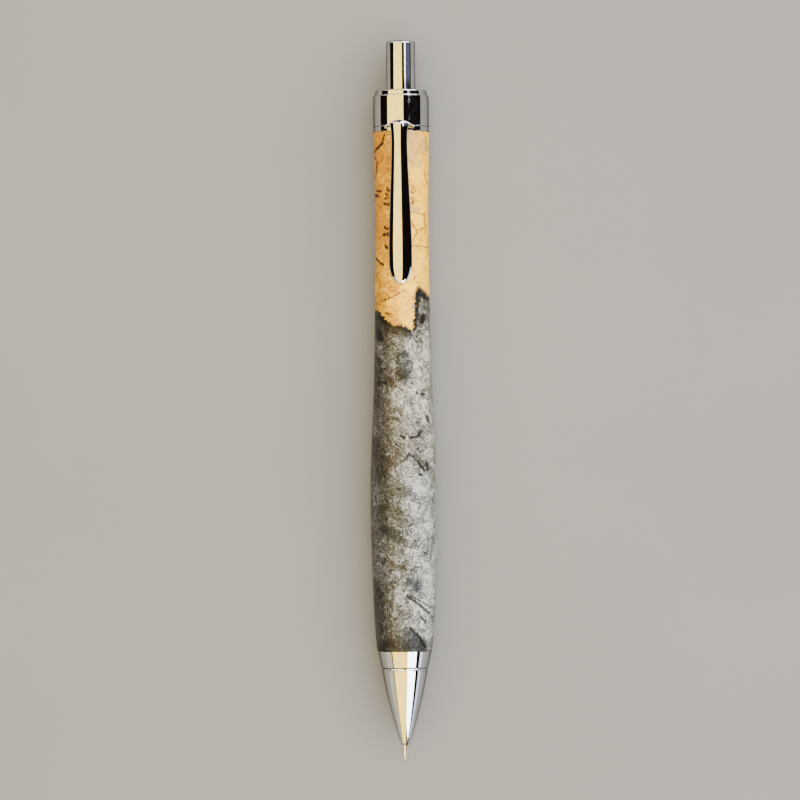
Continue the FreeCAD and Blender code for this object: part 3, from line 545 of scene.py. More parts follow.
def grey_wood(nodes, spots, border):
    """Spalted grey burl: silvery worm-like flecks over olive brown, with dark streaks; the dark olive
    left side and silvery right side are partly painted shade and painted sheen.
    """
    plain, warped = spots.plain, spots.warped
    lean = nodes.scaled(nodes.noise(plain, 0.30, 4.0, 0.6), 6.0, -3.0)
    # Darker olive towards the left, paler and silvery towards the right: partly painted shade on the
    # left and painted sheen from the light on the right.
    tone = nodes.step(nodes.math("ADD", spots.across, lean), -4.2, 3.0, 0.375, 0.668)
    cloud = nodes.noise(warped, 0.26, 4.0, 0.6)
    tone = add_tone(nodes, tone, nodes.minus(cloud, 0.5), 0.90)
    mottle = nodes.noise(warped, 0.95, 3.0, 0.6)
    tone = add_tone(nodes, tone, nodes.minus(mottle, 0.5), 1.15)
    fine = nodes.noise(nodes.vector("MULTIPLY", warped, (1.5, 1.0, 1.0)), 2.5, 4.0, 0.75, 0.5)
    tone = add_tone(nodes, tone, nodes.minus(fine, 0.5), 2.3)
    worm = nodes.noise(warped, 1.9, 3.0, 0.55, 1.4)
    worm = nodes.step(nodes.math("ABSOLUTE", nodes.minus(worm, 0.5)), 0.05, 0.0)
    tone = add_tone(nodes, tone, worm, 0.26)
    patchy = nodes.step(nodes.noise(plain, 0.5, 3.0), 0.40, 0.60, 0.2, 1.0)
    for scale, turns, amount in ((0.42, 44.0, -0.32), (0.9, 36.0, 0.20)):
        lines = swirls(nodes, nodes.vector("MULTIPLY", warped, (1.3, 0.8, 0.8)), scale, turns)
        tone = add_tone(nodes, tone, nodes.times(lines, patchy), amount)
    pits = nodes.cells(warped, 1.5)
    tone = add_tone(nodes, tone, nodes.step(pits, 0.30, 0.05), -0.42)
    for strokes, amount in ((GREY_SHADE, -0.17), (GREY_PALE, 0.15), (GREY_DARK, -0.60)):
        tone = add_tone(nodes, tone, marks(nodes, spots, strokes), amount)
    tone = add_tone(nodes, tone, ring_marks(nodes, spots, GREY_RINGS), -0.30)
    beside = nodes.step(nodes.scaled(lean, 0.4, border), -3.0, -0.4)
    tone = add_tone(nodes, tone, beside, -0.26)
    foot = nodes.step(nodes.scaled(lean, 0.8, spots.along), 25.5, 20.5)
    tone = add_tone(nodes, tone, foot, -0.20)
    colour = nodes.ramp(tone, *GREY_TONES)
    front = nodes.step(nodes.scaled(lean, 2.0, spots.along), 64.0, 50.0)
    colour = nodes.mix(nodes.times(front, 0.6), colour,
                       nodes.mix(1.0, colour, (0.93, 1.03, 1.20), "MULTIPLY"))
    mask = marks(nodes, spots, GREY_BLUE)
    cool = nodes.mix(1.0, colour, (0.26, 0.30, 0.37), "MULTIPLY")
    return nodes.mix(nodes.times(mask, 0.95), colour, cool), fine, worm


def burl_wood():
    """Two-tone burl under a satin finish."""
    nodes = Nodes("burl_wood")
    spots = wood_places(nodes)
    border = golden_border(nodes, spots)
    gold = golden_wood(nodes, spots)
    grey, fine, worm = grey_wood(nodes, spots, border)
    colour = nodes.mix(nodes.step(border, -0.12, 0.2), grey, gold)
    height = nodes.math("ADD", nodes.times(fine, 0.6), nodes.times(worm, 0.4))
    pores = nodes.noise(nodes.place((0.5, 1.0, 1.0)), 6.0, 4.0, 0.6)
    normal = nodes.bump(nodes.math("ADD", height, nodes.times(pores, 0.5)), 0.35, 0.05)
    rough = nodes.step(nodes.noise(spots.plain, 0.8, 5.0, 0.6), 0.3, 0.7, 0.40, 0.52)
    return nodes.surface(
        Base_Color=colour, Roughness=rough, Normal=normal, Specular_IOR_Level=0.2,
        Coat_Weight=0.09, Coat_Roughness=0.20, Coat_IOR=1.5,
    )


# ======== Metal, plastic, rubber and graphite ========


def smudges(nodes, scale, low, high):
    """Roughness with finger smudges."""
    cloud = nodes.cloud(scale, 4.0, 0.6, 0.6)
    return nodes.step(cloud, 0.42, 0.72, low, high)


def hairlines(nodes, stretch, scale):
    """Fine scratches that run round the piece."""
    return nodes.noise(nodes.place(stretch), scale, 3.0, 0.6)


def bright_chrome():
    """Mirror plating with faint smudges and hairlines."""
    nodes = Nodes("bright_chrome")
    veil = nodes.cloud(0.35, 3.0, 0.5)
    colour = nodes.mix(nodes.step(veil, 0.35, 0.7), (0.64, 0.64, 0.645), (0.58, 0.585, 0.60))
    wave = nodes.noise(nodes.place((0.6, 1.0, 1.0)), 0.5, 2.0, 0.5)
    normal = nodes.bump(wave, 0.07, 0.010)
    normal = nodes.bump(hairlines(nodes, (6.0, 0.7, 0.7), 2.2), 0.02, 0.001, normal)
    rough = smudges(nodes, 0.55, 0.03, 0.07)
    # The dark, slightly reddish specular tint is a painted dark reflection at the rims, standing in for
    # darker surroundings.
    return nodes.surface(
        Base_Color=colour, Metallic=1.0, Roughness=rough, Normal=normal, Specular_Tint=(0.22, 0.19, 0.20)
    )


def nozzle_steel():
    """Drawn steel with turning lines."""
    nodes = Nodes("nozzle_steel")
    veil = nodes.cloud(1.4, 3.0, 0.5)
    colour = nodes.mix(nodes.step(veil, 0.35, 0.7), (0.86, 0.86, 0.86), (0.76, 0.765, 0.78))
    normal = nodes.bump(hairlines(nodes, (7.0, 0.5, 0.5), 2.0), 0.18, 0.004)
    return nodes.surface(
        Base_Color=colour, Metallic=1.0, Roughness=smudges(nodes, 1.5, 0.12, 0.2), Normal=normal
    )


def brass():
    """Turned brass, slightly tarnished."""
    nodes = Nodes("brass")
    stain = nodes.cloud(0.8, 5.0, 0.6, 0.8)
    colour = nodes.mix(nodes.step(stain, 0.42, 0.7), (0.86, 0.62, 0.25), (0.60, 0.39, 0.14))
    normal = nodes.bump(hairlines(nodes, (9.0, 0.4, 0.4), 1.6), 0.4, 0.008)
    return nodes.surface(
        Base_Color=colour, Metallic=1.0, Roughness=smudges(nodes, 0.9, 0.18, 0.34), Normal=normal
    )


def spring_steel():
    """Drawn spring wire with a straw-coloured bloom."""
    nodes = Nodes("spring_steel")
    stain = nodes.cloud(1.1, 4.0, 0.6)
    colour = nodes.mix(nodes.step(stain, 0.4, 0.7), (0.58, 0.57, 0.55), (0.46, 0.40, 0.30))
    normal = nodes.bump(nodes.cloud(9.0, 3.0), 0.2, 0.004)
    return nodes.surface(
        Base_Color=colour, Metallic=1.0, Roughness=smudges(nodes, 1.0, 0.22, 0.36), Normal=normal
    )


def clear_plastic():
    """Smoky clear plastic tube with flow marks."""
    nodes = Nodes("clear_plastic")
    flow = nodes.noise(nodes.place((0.25, 1.0, 1.0)), 0.9, 4.0, 0.6, 0.5)
    colour = nodes.mix(nodes.step(flow, 0.4, 0.7), (0.86, 0.89, 0.90), (0.74, 0.79, 0.82))
    normal = nodes.bump(flow, 0.2, 0.02)
    return nodes.surface(
        Base_Color=colour, Roughness=smudges(nodes, 0.6, 0.08, 0.2), Normal=normal,
        Transmission_Weight=0.75, IOR=1.49,
    )


def eraser_rubber():
    """White eraser with a fine dusty grain."""
    nodes = Nodes("eraser_rubber")
    grain = nodes.cloud(6.0, 6.0, 0.7)
    cloud = nodes.cloud(0.7, 3.0, 0.5)
    colour = nodes.mix(nodes.step(cloud, 0.38, 0.7), (0.80, 0.78, 0.74), (0.70, 0.67, 0.62))
    colour = nodes.mix(nodes.step(grain, 0.6, 0.75, 0.0, 0.35), colour, (0.45, 0.43, 0.40))
    normal = nodes.bump(grain, 0.5, 0.03)
    return nodes.surface(Base_Color=colour, Roughness=nodes.step(grain, 0.3, 0.7, 0.72, 0.9),
                         Normal=normal, Sheen_Weight=0.15)


def retainer_rubber():
    """Dark rubber ring."""
    nodes = Nodes("retainer_rubber")
    grain = nodes.cloud(5.0, 5.0, 0.65)
    colour = nodes.mix(nodes.step(grain, 0.4, 0.7), (0.025, 0.024, 0.024), (0.06, 0.055, 0.05))
    return nodes.surface(Base_Color=colour, Roughness=nodes.step(grain, 0.3, 0.7, 0.5, 0.75),
                         Normal=nodes.bump(grain, 0.4, 0.02))


def graphite():
    """Polymer graphite lead with a dull grey shine."""
    nodes = Nodes("graphite")
    grain = nodes.noise(nodes.place((0.5, 1.0, 1.0)), 7.0, 5.0, 0.7)
    colour = nodes.mix(nodes.step(grain, 0.35, 0.7), (0.045, 0.045, 0.05), (0.10, 0.10, 0.105))
    return nodes.surface(Base_Color=colour, Metallic=0.35, Normal=nodes.bump(grain, 0.4, 0.01),
                         Roughness=nodes.step(grain, 0.3, 0.7, 0.34, 0.55))


MATERIALS = {
    make.__name__: make() for make in (
        burl_wood, bright_chrome, nozzle_steel, brass, spring_steel, clear_plastic, eraser_rubber,
        retainer_rubber, graphite,
    )
}

# ======== Barrel ========

BARREL_PULLS = [5.37, 5.91, 6.31, 6.71, 5.57, 5.41, 5.07, 5.37, 5.45]
BARREL_STEPS = 96
BARREL_EASE = 0.10
TUBE_BORE = 4.74


def barrel_radius(share):
    """Radius of the barrel at a share of its length: a clamped cubic curve through its pulls."""
    inner_spans = len(BARREL_PULLS) - 3
    knots = [0.0] * 4 + [float(k) for k in range(1, inner_spans)] + [float(inner_spans)] * 4
    place = min(share * inner_spans, inner_spans - 1e-9)
    first = int(place) + 3
    pulls = [BARREL_PULLS[first - 3 + k] for k in range(4)]
    for level in range(1, 4):
        for k in range(3, level - 1, -1):
            low = knots[first - 3 + k]
            high = knots[first + 1 + k - level]
            mix = (place - low) / (high - low)
            pulls[k] = pulls[k - 1] * (1 - mix) + pulls[k] * mix
    return pulls[3]


def barrel_blank():
    """Burl blank: the long turned outline, slightly eased ends and the bore for the tube."""
    front, back = span("barrel_blank")
    ease = BARREL_EASE
    cut, hold = ease * 0.29, ease * 1.6
    length = back - front
    outline = [
        (front + length * step / BARREL_STEPS, barrel_radius(step / BARREL_STEPS))
        for step in range(BARREL_STEPS + 1)
    ]
    body = [point for point in outline if front + ease * 2 < point[0] < back - ease * 2]
    first, last = barrel_radius(0), barrel_radius(1)
    profile = [(front, TUBE_BORE)]
    profile += [(front, first - hold), (front, first - ease), (front + cut, first - cut)]
    profile += [(front + ease, first), (front + hold, first)]
    profile += body
    profile += [(back - hold, last), (back - ease, last)]
    profile += [(back - cut, last - cut), (back, last - ease), (back, last - hold), (back, TUBE_BORE)]
    turned("burl_barrel", profile, 192, ("barrel", "burl_wood", "barrel_blank"))


# ======== Front fittings ========

THREAD_PITCH = 0.75
THREAD_DEPTH = 0.30
SPIGOT_STEPS = 60


def nose_coupler():
    """Bright band between barrel and cone, with the threaded spigot and the plug in the barrel."""
    front, back = span("nose_coupler")
    band_front = span("nose_cone")[1] + 0.05
    band_back = span("barrel_blank")[0]
    bore, thread, plug, chamfer = 2.25, 2.98, 4.34, 0.25
    rim, foot = 4.52, 5.20
    run_out = band_front - 0.5
    lead_in, fade_length = 0.3, 0.4

    def ridge(along, angle):
        if not front + lead_in < along < run_out:
            return 0.0
        fade = min(1.0, (along - front - lead_in) / fade_length, (run_out - along) / fade_length)
        turn = ((along - front) / THREAD_PITCH - angle / (2 * math.pi)) % 1.0
        return -THREAD_DEPTH * fade * abs(2 * turn - 1)

    head = rounded_loop(
        [
            (band_front, rim, 0.14), (band_back, foot, 0.05), (band_back, plug, 0.02),
            (back, plug, 0.2), (back, bore, 0.1), (front, bore, 0.08), (front, thread - chamfer, 0.05),
        ],
        closed=False,
    )[1:]
    start = rounded_corner((band_front, thread), (band_front, rim), (band_back, foot), 0.14)
    rings = [
        front + chamfer + (run_out - front) * step / SPIGOT_STEPS for step in range(SPIGOT_STEPS + 1)
    ]
    spigot = [(along, thread) for along in rings if along < band_front - 0.05]
    profile = spigot + [(band_front, thread - 0.02), (band_front, thread + 0.03)] + start + head
    turned("nose_coupler_band", profile, 144, ("barrel", "bright_chrome", "nose_coupler"), wave=ridge)


CONE_ARC = 100.0
CONE_STEPS = 40
THREAD_LENGTH = 4.32


def cone_outline(front, front_radius, back, back_radius):
    """Gentle outward arc from the cone's front to its back."""
    half = math.hypot(back - front, back_radius - front_radius) / 2
    middle = ((front + back) / 2, (front_radius + back_radius) / 2)
    (ux, uy), _ = unit((front, front_radius), (back, back_radius))
    drop = math.sqrt(CONE_ARC ** 2 - half ** 2)
    centre = (middle[0] + uy * drop, middle[1] - ux * drop)
    a0 = math.atan2(front_radius - centre[1], front - centre[0])
    a1 = math.atan2(back_radius - centre[1], back - centre[0])
    angles = [a0 + (a1 - a0) * step / CONE_STEPS for step in range(CONE_STEPS + 1)]
    return [(centre[0] + CONE_ARC * math.cos(a), centre[1] + CONE_ARC * math.sin(a)) for a in angles]


def nose_cone():
    """Hollow bright cone."""
    front, back = span("nose_cone")
    hole, chamber, thread = 0.73, 1.74, 3.03
    chamber_front, nib, seam = 7.0, 0.65, 0.42
    arc = cone_outline(front, 0.80, back - 0.15, 4.48)
    profile = [(front, hole + 0.02), (front, 0.775), (front + 0.02, 0.81)]
    profile += [point for point in arc[1:] if point[0] < back - seam - 0.04]
    # A narrow facet leads into the seam with the band.
    profile += [(back - seam, 4.455), (back - 0.39, 4.444), (back - 0.05, 4.285), (back - 0.02, 4.265)]
    profile += [(back, 4.24), (back, 4.20), (back, thread + 0.12), (back - 0.12, thread)]
    profile += [(back - THREAD_LENGTH, thread), (back - 5.42, thread - 0.18)]
    profile += [(chamber_front, chamber), (front + nib, hole)]
    turned("nose_cone_shell", profile, 192, ("nose", "bright_chrome", "nose_cone"))


def lead_nozzle():
    """Steel nozzle with its rounded mouth, neck, flange and skirt."""
    front, back = span("lead_nozzle")
    bore, mouth, neck, skirt, flange = 0.375, 0.47, 0.68, 1.95, 2.60
    bore_back, shoulder, waist = 3.20, 6.85, 9.60
    flange_front, flange_back = 12.35, 13.40
    corners = [
        (front, bore, 0.02), (front, mouth, 0.05), (2.75, neck, 0.0), (3.40, neck, 0.05),
        (shoulder, 1.62, 0.1), (waist, 1.85, 0.1), (flange_front, skirt, 0.05),
        (flange_front, flange, 0.1), (flange_back, flange, 0.1), (flange_back, skirt, 0.05),
        (back, skirt, 0.08), (back, 1.60, 0.04), (12.30, 1.60, 0.02),
        (12.30, 1.50, 0.02), (waist, 1.50, 0.02), (waist, 1.30, 0.02), (shoulder, 1.30, 0.02),
        (shoulder, 1.00, 0.02), (5.60, 1.00, 0.02), (5.60, 0.575, 0.02), (bore_back, 0.475, 0.02),
        (bore_back, bore, 0.02),
    ]
    turned("lead_nozzle_tip", rounded_loop(corners), 128, ("barrel", "nozzle_steel", "lead_nozzle"))


# ======== Back fittings ========

CLIP_RING_GAP = 1.10


def top_collar():
    """Bright collar: broad drum, rounded shoulder, stepped lip and threaded spigot."""
    front, back = span("top_collar")
    drum_front = span("barrel_blank")[1] + CLIP_RING_GAP
    drum, lip, bore, thread = outer("top_collar"), 5.05, 2.91, 3.88
    lip_front = back - 1.05
    corners = [
        (front, bore, 0.1), (front, thread, 0.12), (drum_front, thread, 0.02),
        (drum_front, drum, 0.12), (lip_front, drum, 0.36), (lip_front, lip, 0.08),
        (back, lip, 0.30), (back, bore, 0.12),
    ]
    turned("top_collar_drum", rounded_loop(corners), 192, ("barrel", "bright_chrome", "top_collar"))


def push_button():
    """Bright cap with a rounded end, hollow over the eraser."""
    front, back = span("push_button")
    skirt, drum, bore = 2.66, outer("push_button"), 2.36
    step, bore_back = 130.36, 137.3
    corners = [
        (bore_back, 0.0, 0.0), (bore_back, bore, 0.15), (front, bore, 0.05), (front, skirt, 0.06),
        (step, skirt, 0.03), (step, drum, 0.08), (back, drum, 0.50), (back, 0.0, 0.0),
    ]
    role = ("button", "bright_chrome", "push_button")
    turned("push_button_cap", rounded_loop(corners, closed=False), 160, role, closed=False)


def eraser_end():
    """Eraser with worn, rounded edges, and the ferrule with two rolled grooves."""
    front, back = span("eraser")
    radius = outer("eraser")
    corners = [(front, 0.0, 0.0), (front, radius, 0.1), (back, radius, 0.45), (back, 0.0, 0.0)]
    role = ("rubber", "eraser_rubber", "eraser")
    turned("eraser_plug", rounded_loop(corners, closed=False), 96, role, closed=False)
    front, back = span("eraser_ferrule")
    rim = outer("eraser_ferrule")
    groove, seat, socket, waist = rim - 0.10, 2.02, 1.77, 1.36
    seat_front, socket_back, groove_half = back - 3.2, 124.55, 0.35
    corners = [(front, socket, 0.02), (front, rim, 0.08)]
    for middle in (back - 5.2, back - 3.9):
        corners += [(middle - groove_half, rim, 0.1), (middle, groove, 0.15)]
        corners += [(middle + groove_half, rim, 0.1)]
    corners += [
        (back, rim, 0.12), (back, seat, 0.03), (seat_front, seat, 0.02), (seat_front, waist, 0.02),
        (socket_back, waist, 0.02), (socket_back, socket, 0.02),
    ]
    turned("ferrule_sleeve", rounded_loop(corners), 128, ("core", "brass", "eraser_ferrule"))


# ======== Clip ========

CLIP_SIDE_ROUND = 0.14
CLIP_DOME_STEPS = 20
CLIP_DOME = math.radians(46)
CLIP_RIM = 0.26
# Shares of the half width, of a side's round, of the rim's depth and of the half width again.
SIDE_SHARE, LOW_SHARE, DEPTH_SHARE, HOLLOW_SHARE = 0.4, 0.7, 0.7, 0.93
ARM_THICKNESS, TIP_THICKNESS = 0.90, 0.62
# Places along the arm, half widths there, and heights above the axis.
NECK, WIDE_BACK, WIDE_FRONT, TOUCH = 119.3, 99.8, 96.3, 94.60
NECK_HALF, WIDE_HALF, TIP_HALF, NECK_TAPER = 1.53, 2.27, 0.10, 0.02
TIP_LIFT = 0.20
ROOT_FRONT, CROWN_UP, LOW_TOP = 122.70, 8.13, 6.26

# From the ring: a narrow base, flared ears and a tight bend forward into the arm.
ROOT_STATIONS = [
    (ROOT_FRONT, 4.60, 1.70, 0.45, 0.10), (122.85, 5.05, 1.70, 0.45, 0.15),
    (123.20, 5.50, 1.75, 0.45, 0.25), (123.62, 5.95, 1.95, 0.48, 0.45),
    (123.86, 6.45, 2.50, 0.52, 0.75), (124.04, 6.95, 2.85, 0.60, 1.05),
    (124.08, 7.40, 2.62, 0.72, 1.25), (123.86, 7.82, 2.28, 0.84, 1.25),
    (123.38, 8.06, 2.00, 0.90, 1.15), (ROOT_FRONT, CROWN_UP, 1.78, 0.90, 1.05),
    (121.80, 8.08, 1.60, 0.90, 1.00),
]
ARM_STATIONS = [120.5, 119.3] + [float(along) for along in range(118, 101, -2)]
ARM_STATIONS += [101.0, 100.0, 99.2, 98.4, 97.6, 97.0, 96.4, 95.8, 95.2, 94.7, 94.2]
TIP_SHARES = (0.2, 0.36, 0.5, 0.62, 0.72, 0.8, 0.86, 0.91, 0.95, 0.975, 0.99, 1.0)
STRIP_POINTS = 96


def dome_height(half_width):
    """How far the crown stands above the rims of a strip of that half width."""
    return half_width * math.tan(CLIP_DOME / 2)


def clip_section(half_width, thickness, dome):
    """Outline of the clip's strip, across and up, from a domed top to a hollow underside."""
    corner = min(CLIP_SIDE_ROUND, half_width * SIDE_SHARE)
    angle = max(CLIP_DOME * dome, 0.02)
    reach = (half_width - corner * (1 - math.sin(angle))) / math.sin(angle)
    right = []
    for step in range(CLIP_DOME_STEPS + 1):
        turn = angle * step / CLIP_DOME_STEPS
        right.append((reach * math.sin(turn), -reach * (1 - math.cos(turn))))
    centre = (reach - corner) * math.sin(angle), -reach + (reach - corner) * math.cos(angle)
    for step in range(1, 5):
        turn = angle + (math.pi / 2 - angle) * step / 4
        right.append((centre[0] + corner * math.sin(turn), centre[1] + corner * math.cos(turn)))
    low = corner * LOW_SHARE
    base = right[-1][1] - CLIP_RIM
    depth = max(thickness, -base * DEPTH_SHARE)
    right.append((half_width, base + low))
    for step in range(1, 4):
        turn = math.pi / 2 * step / 3
        right.append((half_width - low * (1 - math.cos(turn)), base + low - low * math.sin(turn)))
    for share in (0.8, 0.6, 0.4, 0.2):
        right.append((half_width * share * HOLLOW_SHARE, base + (-depth - base) * (1 - share ** 2)))
    left = [(-x, y) for x, y in reversed(right[1:])]
    return right + [(0.0, -depth)] + left


def resample(section, count):
    """The same outline with a set number of evenly spaced points."""
    loop = section + [section[0]]
    lengths = [0.0]
    for a, b in zip(loop, loop[1:]):
        lengths.append(lengths[-1] + math.hypot(b[0] - a[0], b[1] - a[1]))
    points, index = [], 0
    for step in range(count):
        goal = lengths[-1] * step / count
        while lengths[index + 1] < goal:
            index += 1
        share = (goal - lengths[index]) / max(lengths[index + 1] - lengths[index], 1e-9)
        a, b = loop[index], loop[index + 1]
        points.append((a[0] + (b[0] - a[0]) * share, a[1] + (b[1] - a[1]) * share))
    return points


def smooth_path(points, steps):
    """Catmull-Rom curve through rows of numbers."""
    rows = []
    for index in range(len(points) - 1):
        before = points[max(index - 1, 0)]
        start, end = points[index], points[index + 1]
        after = points[min(index + 2, len(points) - 1)]
        for step in range(steps):
            t = step / steps
            row = []
            for a, b, c, d in zip(before, start, end, after):
                row.append(0.5 * (2 * b + (c - a) * t + (2 * a - 5 * b + 4 * c - d) * t * t
                                  + (3 * b - a - 3 * c + d) * t ** 3))
            rows.append(row)
    rows.append(list(points[-1]))
    return rows


def arm_half_width(along):
    """Half width of the arm: narrow behind the neck, widest near the tip, then rounded off."""
    tip = span("clip_arm")[0]
    if along >= NECK:
        return NECK_HALF + NECK_TAPER * (along - NECK)
    if along >= WIDE_BACK:
        share = (NECK - along) / (NECK - WIDE_BACK)
        swell = 0.55 * share + 0.45 * share * share * (3 - 2 * share)
        return NECK_HALF + (WIDE_HALF - NECK_HALF) * swell
    if along >= WIDE_FRONT:
        return WIDE_HALF
    share = min(1.0, (WIDE_FRONT - along) / (WIDE_FRONT - tip))
    return TIP_HALF + (WIDE_HALF - TIP_HALF) * (1 - share ** 2.0) ** 0.52


def clip_stations():
    """Stations of the clip's top line: along, up, half width, thickness and dome."""
    tip = span("clip_arm")[0]
    slope = (CROWN_UP - LOW_TOP) / (ROOT_FRONT - TOUCH)
    rows = smooth_path(ROOT_STATIONS, 5)
    for along in ARM_STATIONS:
        half_width = arm_half_width(along)
        up = LOW_TOP + slope * (along - TOUCH) if along > TOUCH else LOW_TOP
        if along < WIDE_FRONT:
            up -= dome_height(WIDE_HALF) - dome_height(half_width)
        rows.append([along, up, half_width, ARM_THICKNESS, 1.0])
    rim = LOW_TOP - dome_height(WIDE_HALF)
    tip_back = ARM_STATIONS[-1]
    for share in TIP_SHARES:
        along = tip_back + (tip - tip_back) * share
        half_width = arm_half_width(along)
        up = rim + TIP_LIFT * share ** 2 + dome_height(half_width)
        rows.append([along, up, half_width, TIP_THICKNESS, 1.0])
    return rows


def add_strip(builder, rows):
    """Strip swept through stations, square to its own line, closed at both ends."""
    rings = []
    for index, (along, up, half_width, thickness, dome) in enumerate(rows):
        before, after = rows[max(index - 1, 0)], rows[min(index + 1, len(rows) - 1)]
        (dx, dz), _ = unit(before[:2], after[:2])
        out = (dz, -dx)
        ring = []
        for across, depth in resample(clip_section(half_width, thickness, dome), STRIP_POINTS):
            ring.append(builder.verts.new(at(along + out[0] * depth, across, up + out[1] * depth)))
        rings.append(ring)
    skin(builder, rings, capped=True)


def clip():
    """Ring, flared root, tight bend, domed arm and rounded tip as one springy piece."""
    front, back = span("clip_ring")[0], span("barrel_blank")[1] + 1.07
    bore, rim = 3.92, 5.42
    builder = bmesh.new()
    profile = rounded_loop(
        [(front, bore, 0.03), (front, rim, 0.10), (back, rim, 0.10), (back, bore, 0.03)]
    )
    rings = [add_ring(builder, along, radius, 192) for along, radius in profile]
    skin(builder, rings, loop=True)
    add_strip(builder, clip_stations())
    thing = mesh_object("pocket_clip", builder)
    finish_piece(thing, None, "bright_chrome", "clip_ring", "clip_arm")
    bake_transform(thing)


# ======== Spring ========

END_TURN_PRESS = 0.9


def return_spring():
    """Compression spring with closed, ground end turns."""
    front, back = span("return_spring")
    coil, wire, open_turns, closed_turns = 1.28, 0.15, 6.0, 1.2
    first, last = front + wire, back - wire
    dead = wire * 2 * closed_turns * END_TURN_PRESS
    total = open_turns + closed_turns * 2
    count, sides = 560, 12
    centres = []
    for step in range(count + 1):
        turn = total * step / count
        if turn < closed_turns:
            along = first + dead * turn / closed_turns
        elif turn > total - closed_turns:
            along = last - dead * (total - turn) / closed_turns
        else:
            along = first + dead + (last - first - 2 * dead) * (turn - closed_turns) / open_turns
        angle = 2 * math.pi * turn
        centres.append(at(along, coil * math.cos(angle), coil * math.sin(angle)))
    builder = bmesh.new()
    rings = []
    for index, centre in enumerate(centres):
        ahead = centres[min(index + 1, count)] - centres[max(index - 1, 0)]
        ahead.normalize()
        outward = (centre - Vector((centre.x, 0, AXIS_Z))).normalized()
        other = ahead.cross(outward).normalized()
        ring = []
        for side in range(sides):
            angle = 2 * math.pi * side / sides
            offset = (outward * math.cos(angle) + other * math.sin(angle)) * wire * MM
            ring.append(builder.verts.new(centre + offset))
        rings.append(ring)
    skin(builder, rings, capped=True)
    thing = mesh_object("return_spring_coil", builder)
    finish_piece(thing, None, "spring_steel", "return_spring")
    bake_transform(thing)


# ======== CAD nodes that stay, with better materials ========

KEPT_NODES = {
    "barrel_tube": "brass", "rear_coupler": "brass", "mechanism_sleeve": "brass", "chuck": "brass",
    "clutch_ring": "brass", "lead_retainer": "retainer_rubber", "chuck_adapter": "clear_plastic",
    "lead_reservoir": "clear_plastic", "working_lead": "graphite", "spare_leads": "graphite",
}


def dress_kept_nodes():
    for node, material in KEPT_NODES.items():
        thing = frame["nodes"][node]
        thing.data.materials.clear()
        thing.data.materials.append(MATERIALS[material])


# ======== Studio ========

FLOOR_SIZE = 3.0
LAMP_REACH = 0.60


def floor():
    """Plain pale floor with a very faint mottle."""
    nodes = Nodes("pale_floor")
    cloud = nodes.noise(nodes.add("ShaderNodeTexCoord").outputs["Object"], 14.0, 4.0, 0.5)
    colour = nodes.mix(nodes.step(cloud, 0.3, 0.7), (0.150, 0.1485, 0.147), (0.158, 0.1565, 0.155))
    material = nodes.surface(Base_Color=colour, Roughness=0.6)
    builder = bmesh.new()
    bmesh.ops.create_grid(builder, x_segments=8, y_segments=8, size=FLOOR_SIZE / 2)
    thing = mesh_object("studio_floor", builder)
    thing.data.materials.append(material)


def lamp(name, low, high, start, end, colour, radiance, mirrored=True, reach=LAMP_REACH):
    """Soft box along the pencil: from angle low to high off the vertical, + to -Y, from start to end.

    A mirrored lamp shows in bright metal only; the others light surfaces without showing.
    """
    middle, half = math.radians((low + high) / 2), math.radians((high - low) / 2)
    width = 2 * reach * math.tan(half)
    light = bpy.data.lights.new(name, "AREA")
    light.shape = "RECTANGLE"
    light.size, light.size_y = end - start, width
    light.color = colour
    light.energy = radiance * math.pi * (end - start) * width
    thing = bpy.data.objects.new(name, light)
    bpy.context.scene.collection.objects.link(thing)
    thing.location = ((start + end) / 2, -reach * math.sin(middle), AXIS_Z + reach * math.cos(middle))
    thing.rotation_euler = (middle, 0.0, 0.0)
    thing.visible_glossy = mirrored
    thing.visible_diffuse = not mirrored


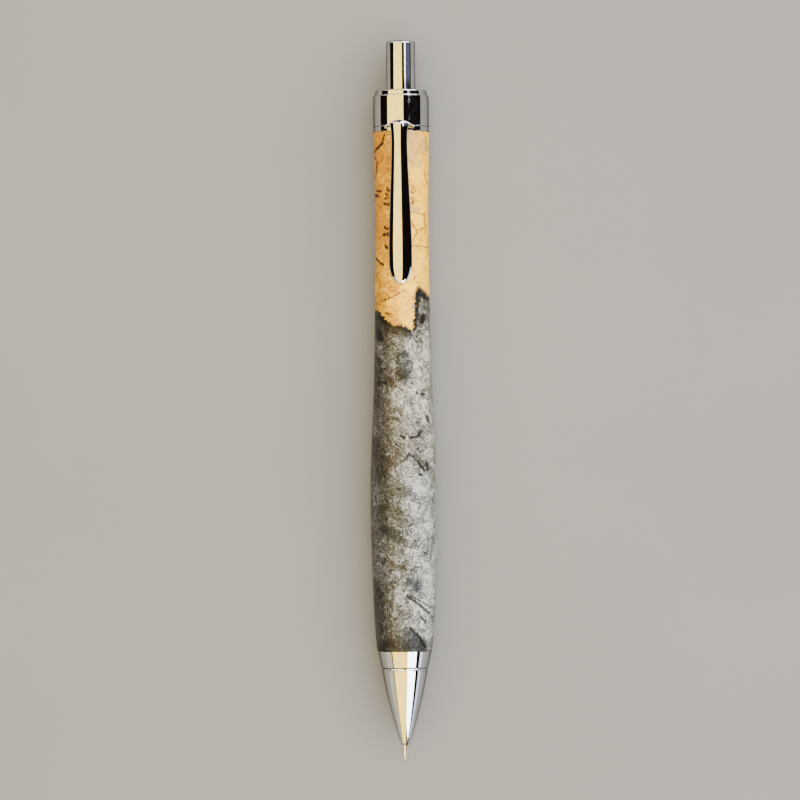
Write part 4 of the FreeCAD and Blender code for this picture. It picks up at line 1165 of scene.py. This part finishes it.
def lamps():
    """Fills that light the wood, and the cream ceiling and cool windows that the metal mirrors."""
    lamp("left_fill", -62, -8, -0.6, 0.6, (1.0, 0.93, 0.80), 2.5, mirrored=False, reach=0.8)
    lamp("right_fill", -8, 66, -0.6, 0.6, (1.0, 0.985, 0.95), 8.0, mirrored=False, reach=0.8)
    lamp("ceiling_box", -55, 12, -0.75, 0.42, (1.0, 0.70, 0.140), 4.5)
    lamp("window_box", 15, 59, -0.50, -0.24, (0.96, 0.98, 1.0), 13.0)
    lamp("side_window", 76, 106, -0.42, -0.065, (0.76, 0.81, 1.0), 2.6)
    lamp("left_wall", -100, -60, -0.60, -0.16, (1.0, 0.94, 0.70), 1.1)
    lamp("end_window", 14, 86, 0.50, 0.95, (0.98, 0.99, 1.0), 12.0)
    lamp("end_wall", -84, 12, 0.52, 0.74, (1.0, 0.98, 0.93), 5.0)
    lamp("far_strip", 32, 42, 0.117, 0.45, (1.0, 1.0, 1.0), 7.5)
    lamp("far_fill", 47, 80, 0.117, 0.45, (0.62, 0.72, 1.0), 0.30)


WORLD_COLOUR, WORLD_STRENGTH = (0.60, 0.40, 0.42), 0.018


def world():
    """Very dim reddish surroundings, which the metal mirrors between the lamps."""
    scene = bpy.context.scene
    scene.world = bpy.data.worlds.new("studio")
    scene.world.use_nodes = True
    background = scene.world.node_tree.nodes["Background"]
    background.inputs["Color"].default_value = opaque(WORLD_COLOUR)
    background.inputs["Strength"].default_value = WORLD_STRENGTH


CAMERA_SPOT = (-0.020, -0.047, 0.90)
CAMERA_TARGET = (-0.0001, 0.0006, AXIS_Z)
CAMERA_LENS = 206.4
CAMERA_ROLL = math.radians(-0.41)


def camera():
    """Long lens from above, with the button at the top of the picture."""
    data = bpy.data.cameras.new("camera")
    data.lens = CAMERA_LENS
    data.sensor_width = 36.0
    data.clip_start, data.clip_end = 0.01, 10.0
    thing = bpy.data.objects.new("camera", data)
    bpy.context.scene.collection.objects.link(thing)
    thing.location = CAMERA_SPOT
    ahead = (Vector(CAMERA_TARGET) - Vector(CAMERA_SPOT)).normalized()
    up = Vector((math.cos(CAMERA_ROLL), math.sin(CAMERA_ROLL), 0.0))
    right = ahead.cross(up).normalized()
    up = right.cross(ahead)
    thing.rotation_mode = "QUATERNION"
    thing.rotation_quaternion = Matrix((right, up, -ahead)).transposed().to_quaternion()
    bpy.context.scene.camera = thing


barrel_blank()
nose_coupler()
nose_cone()
lead_nozzle()
top_collar()
push_button()
eraser_end()
clip()
return_spring()
dress_kept_nodes()
floor()
lamps()
world()
camera()
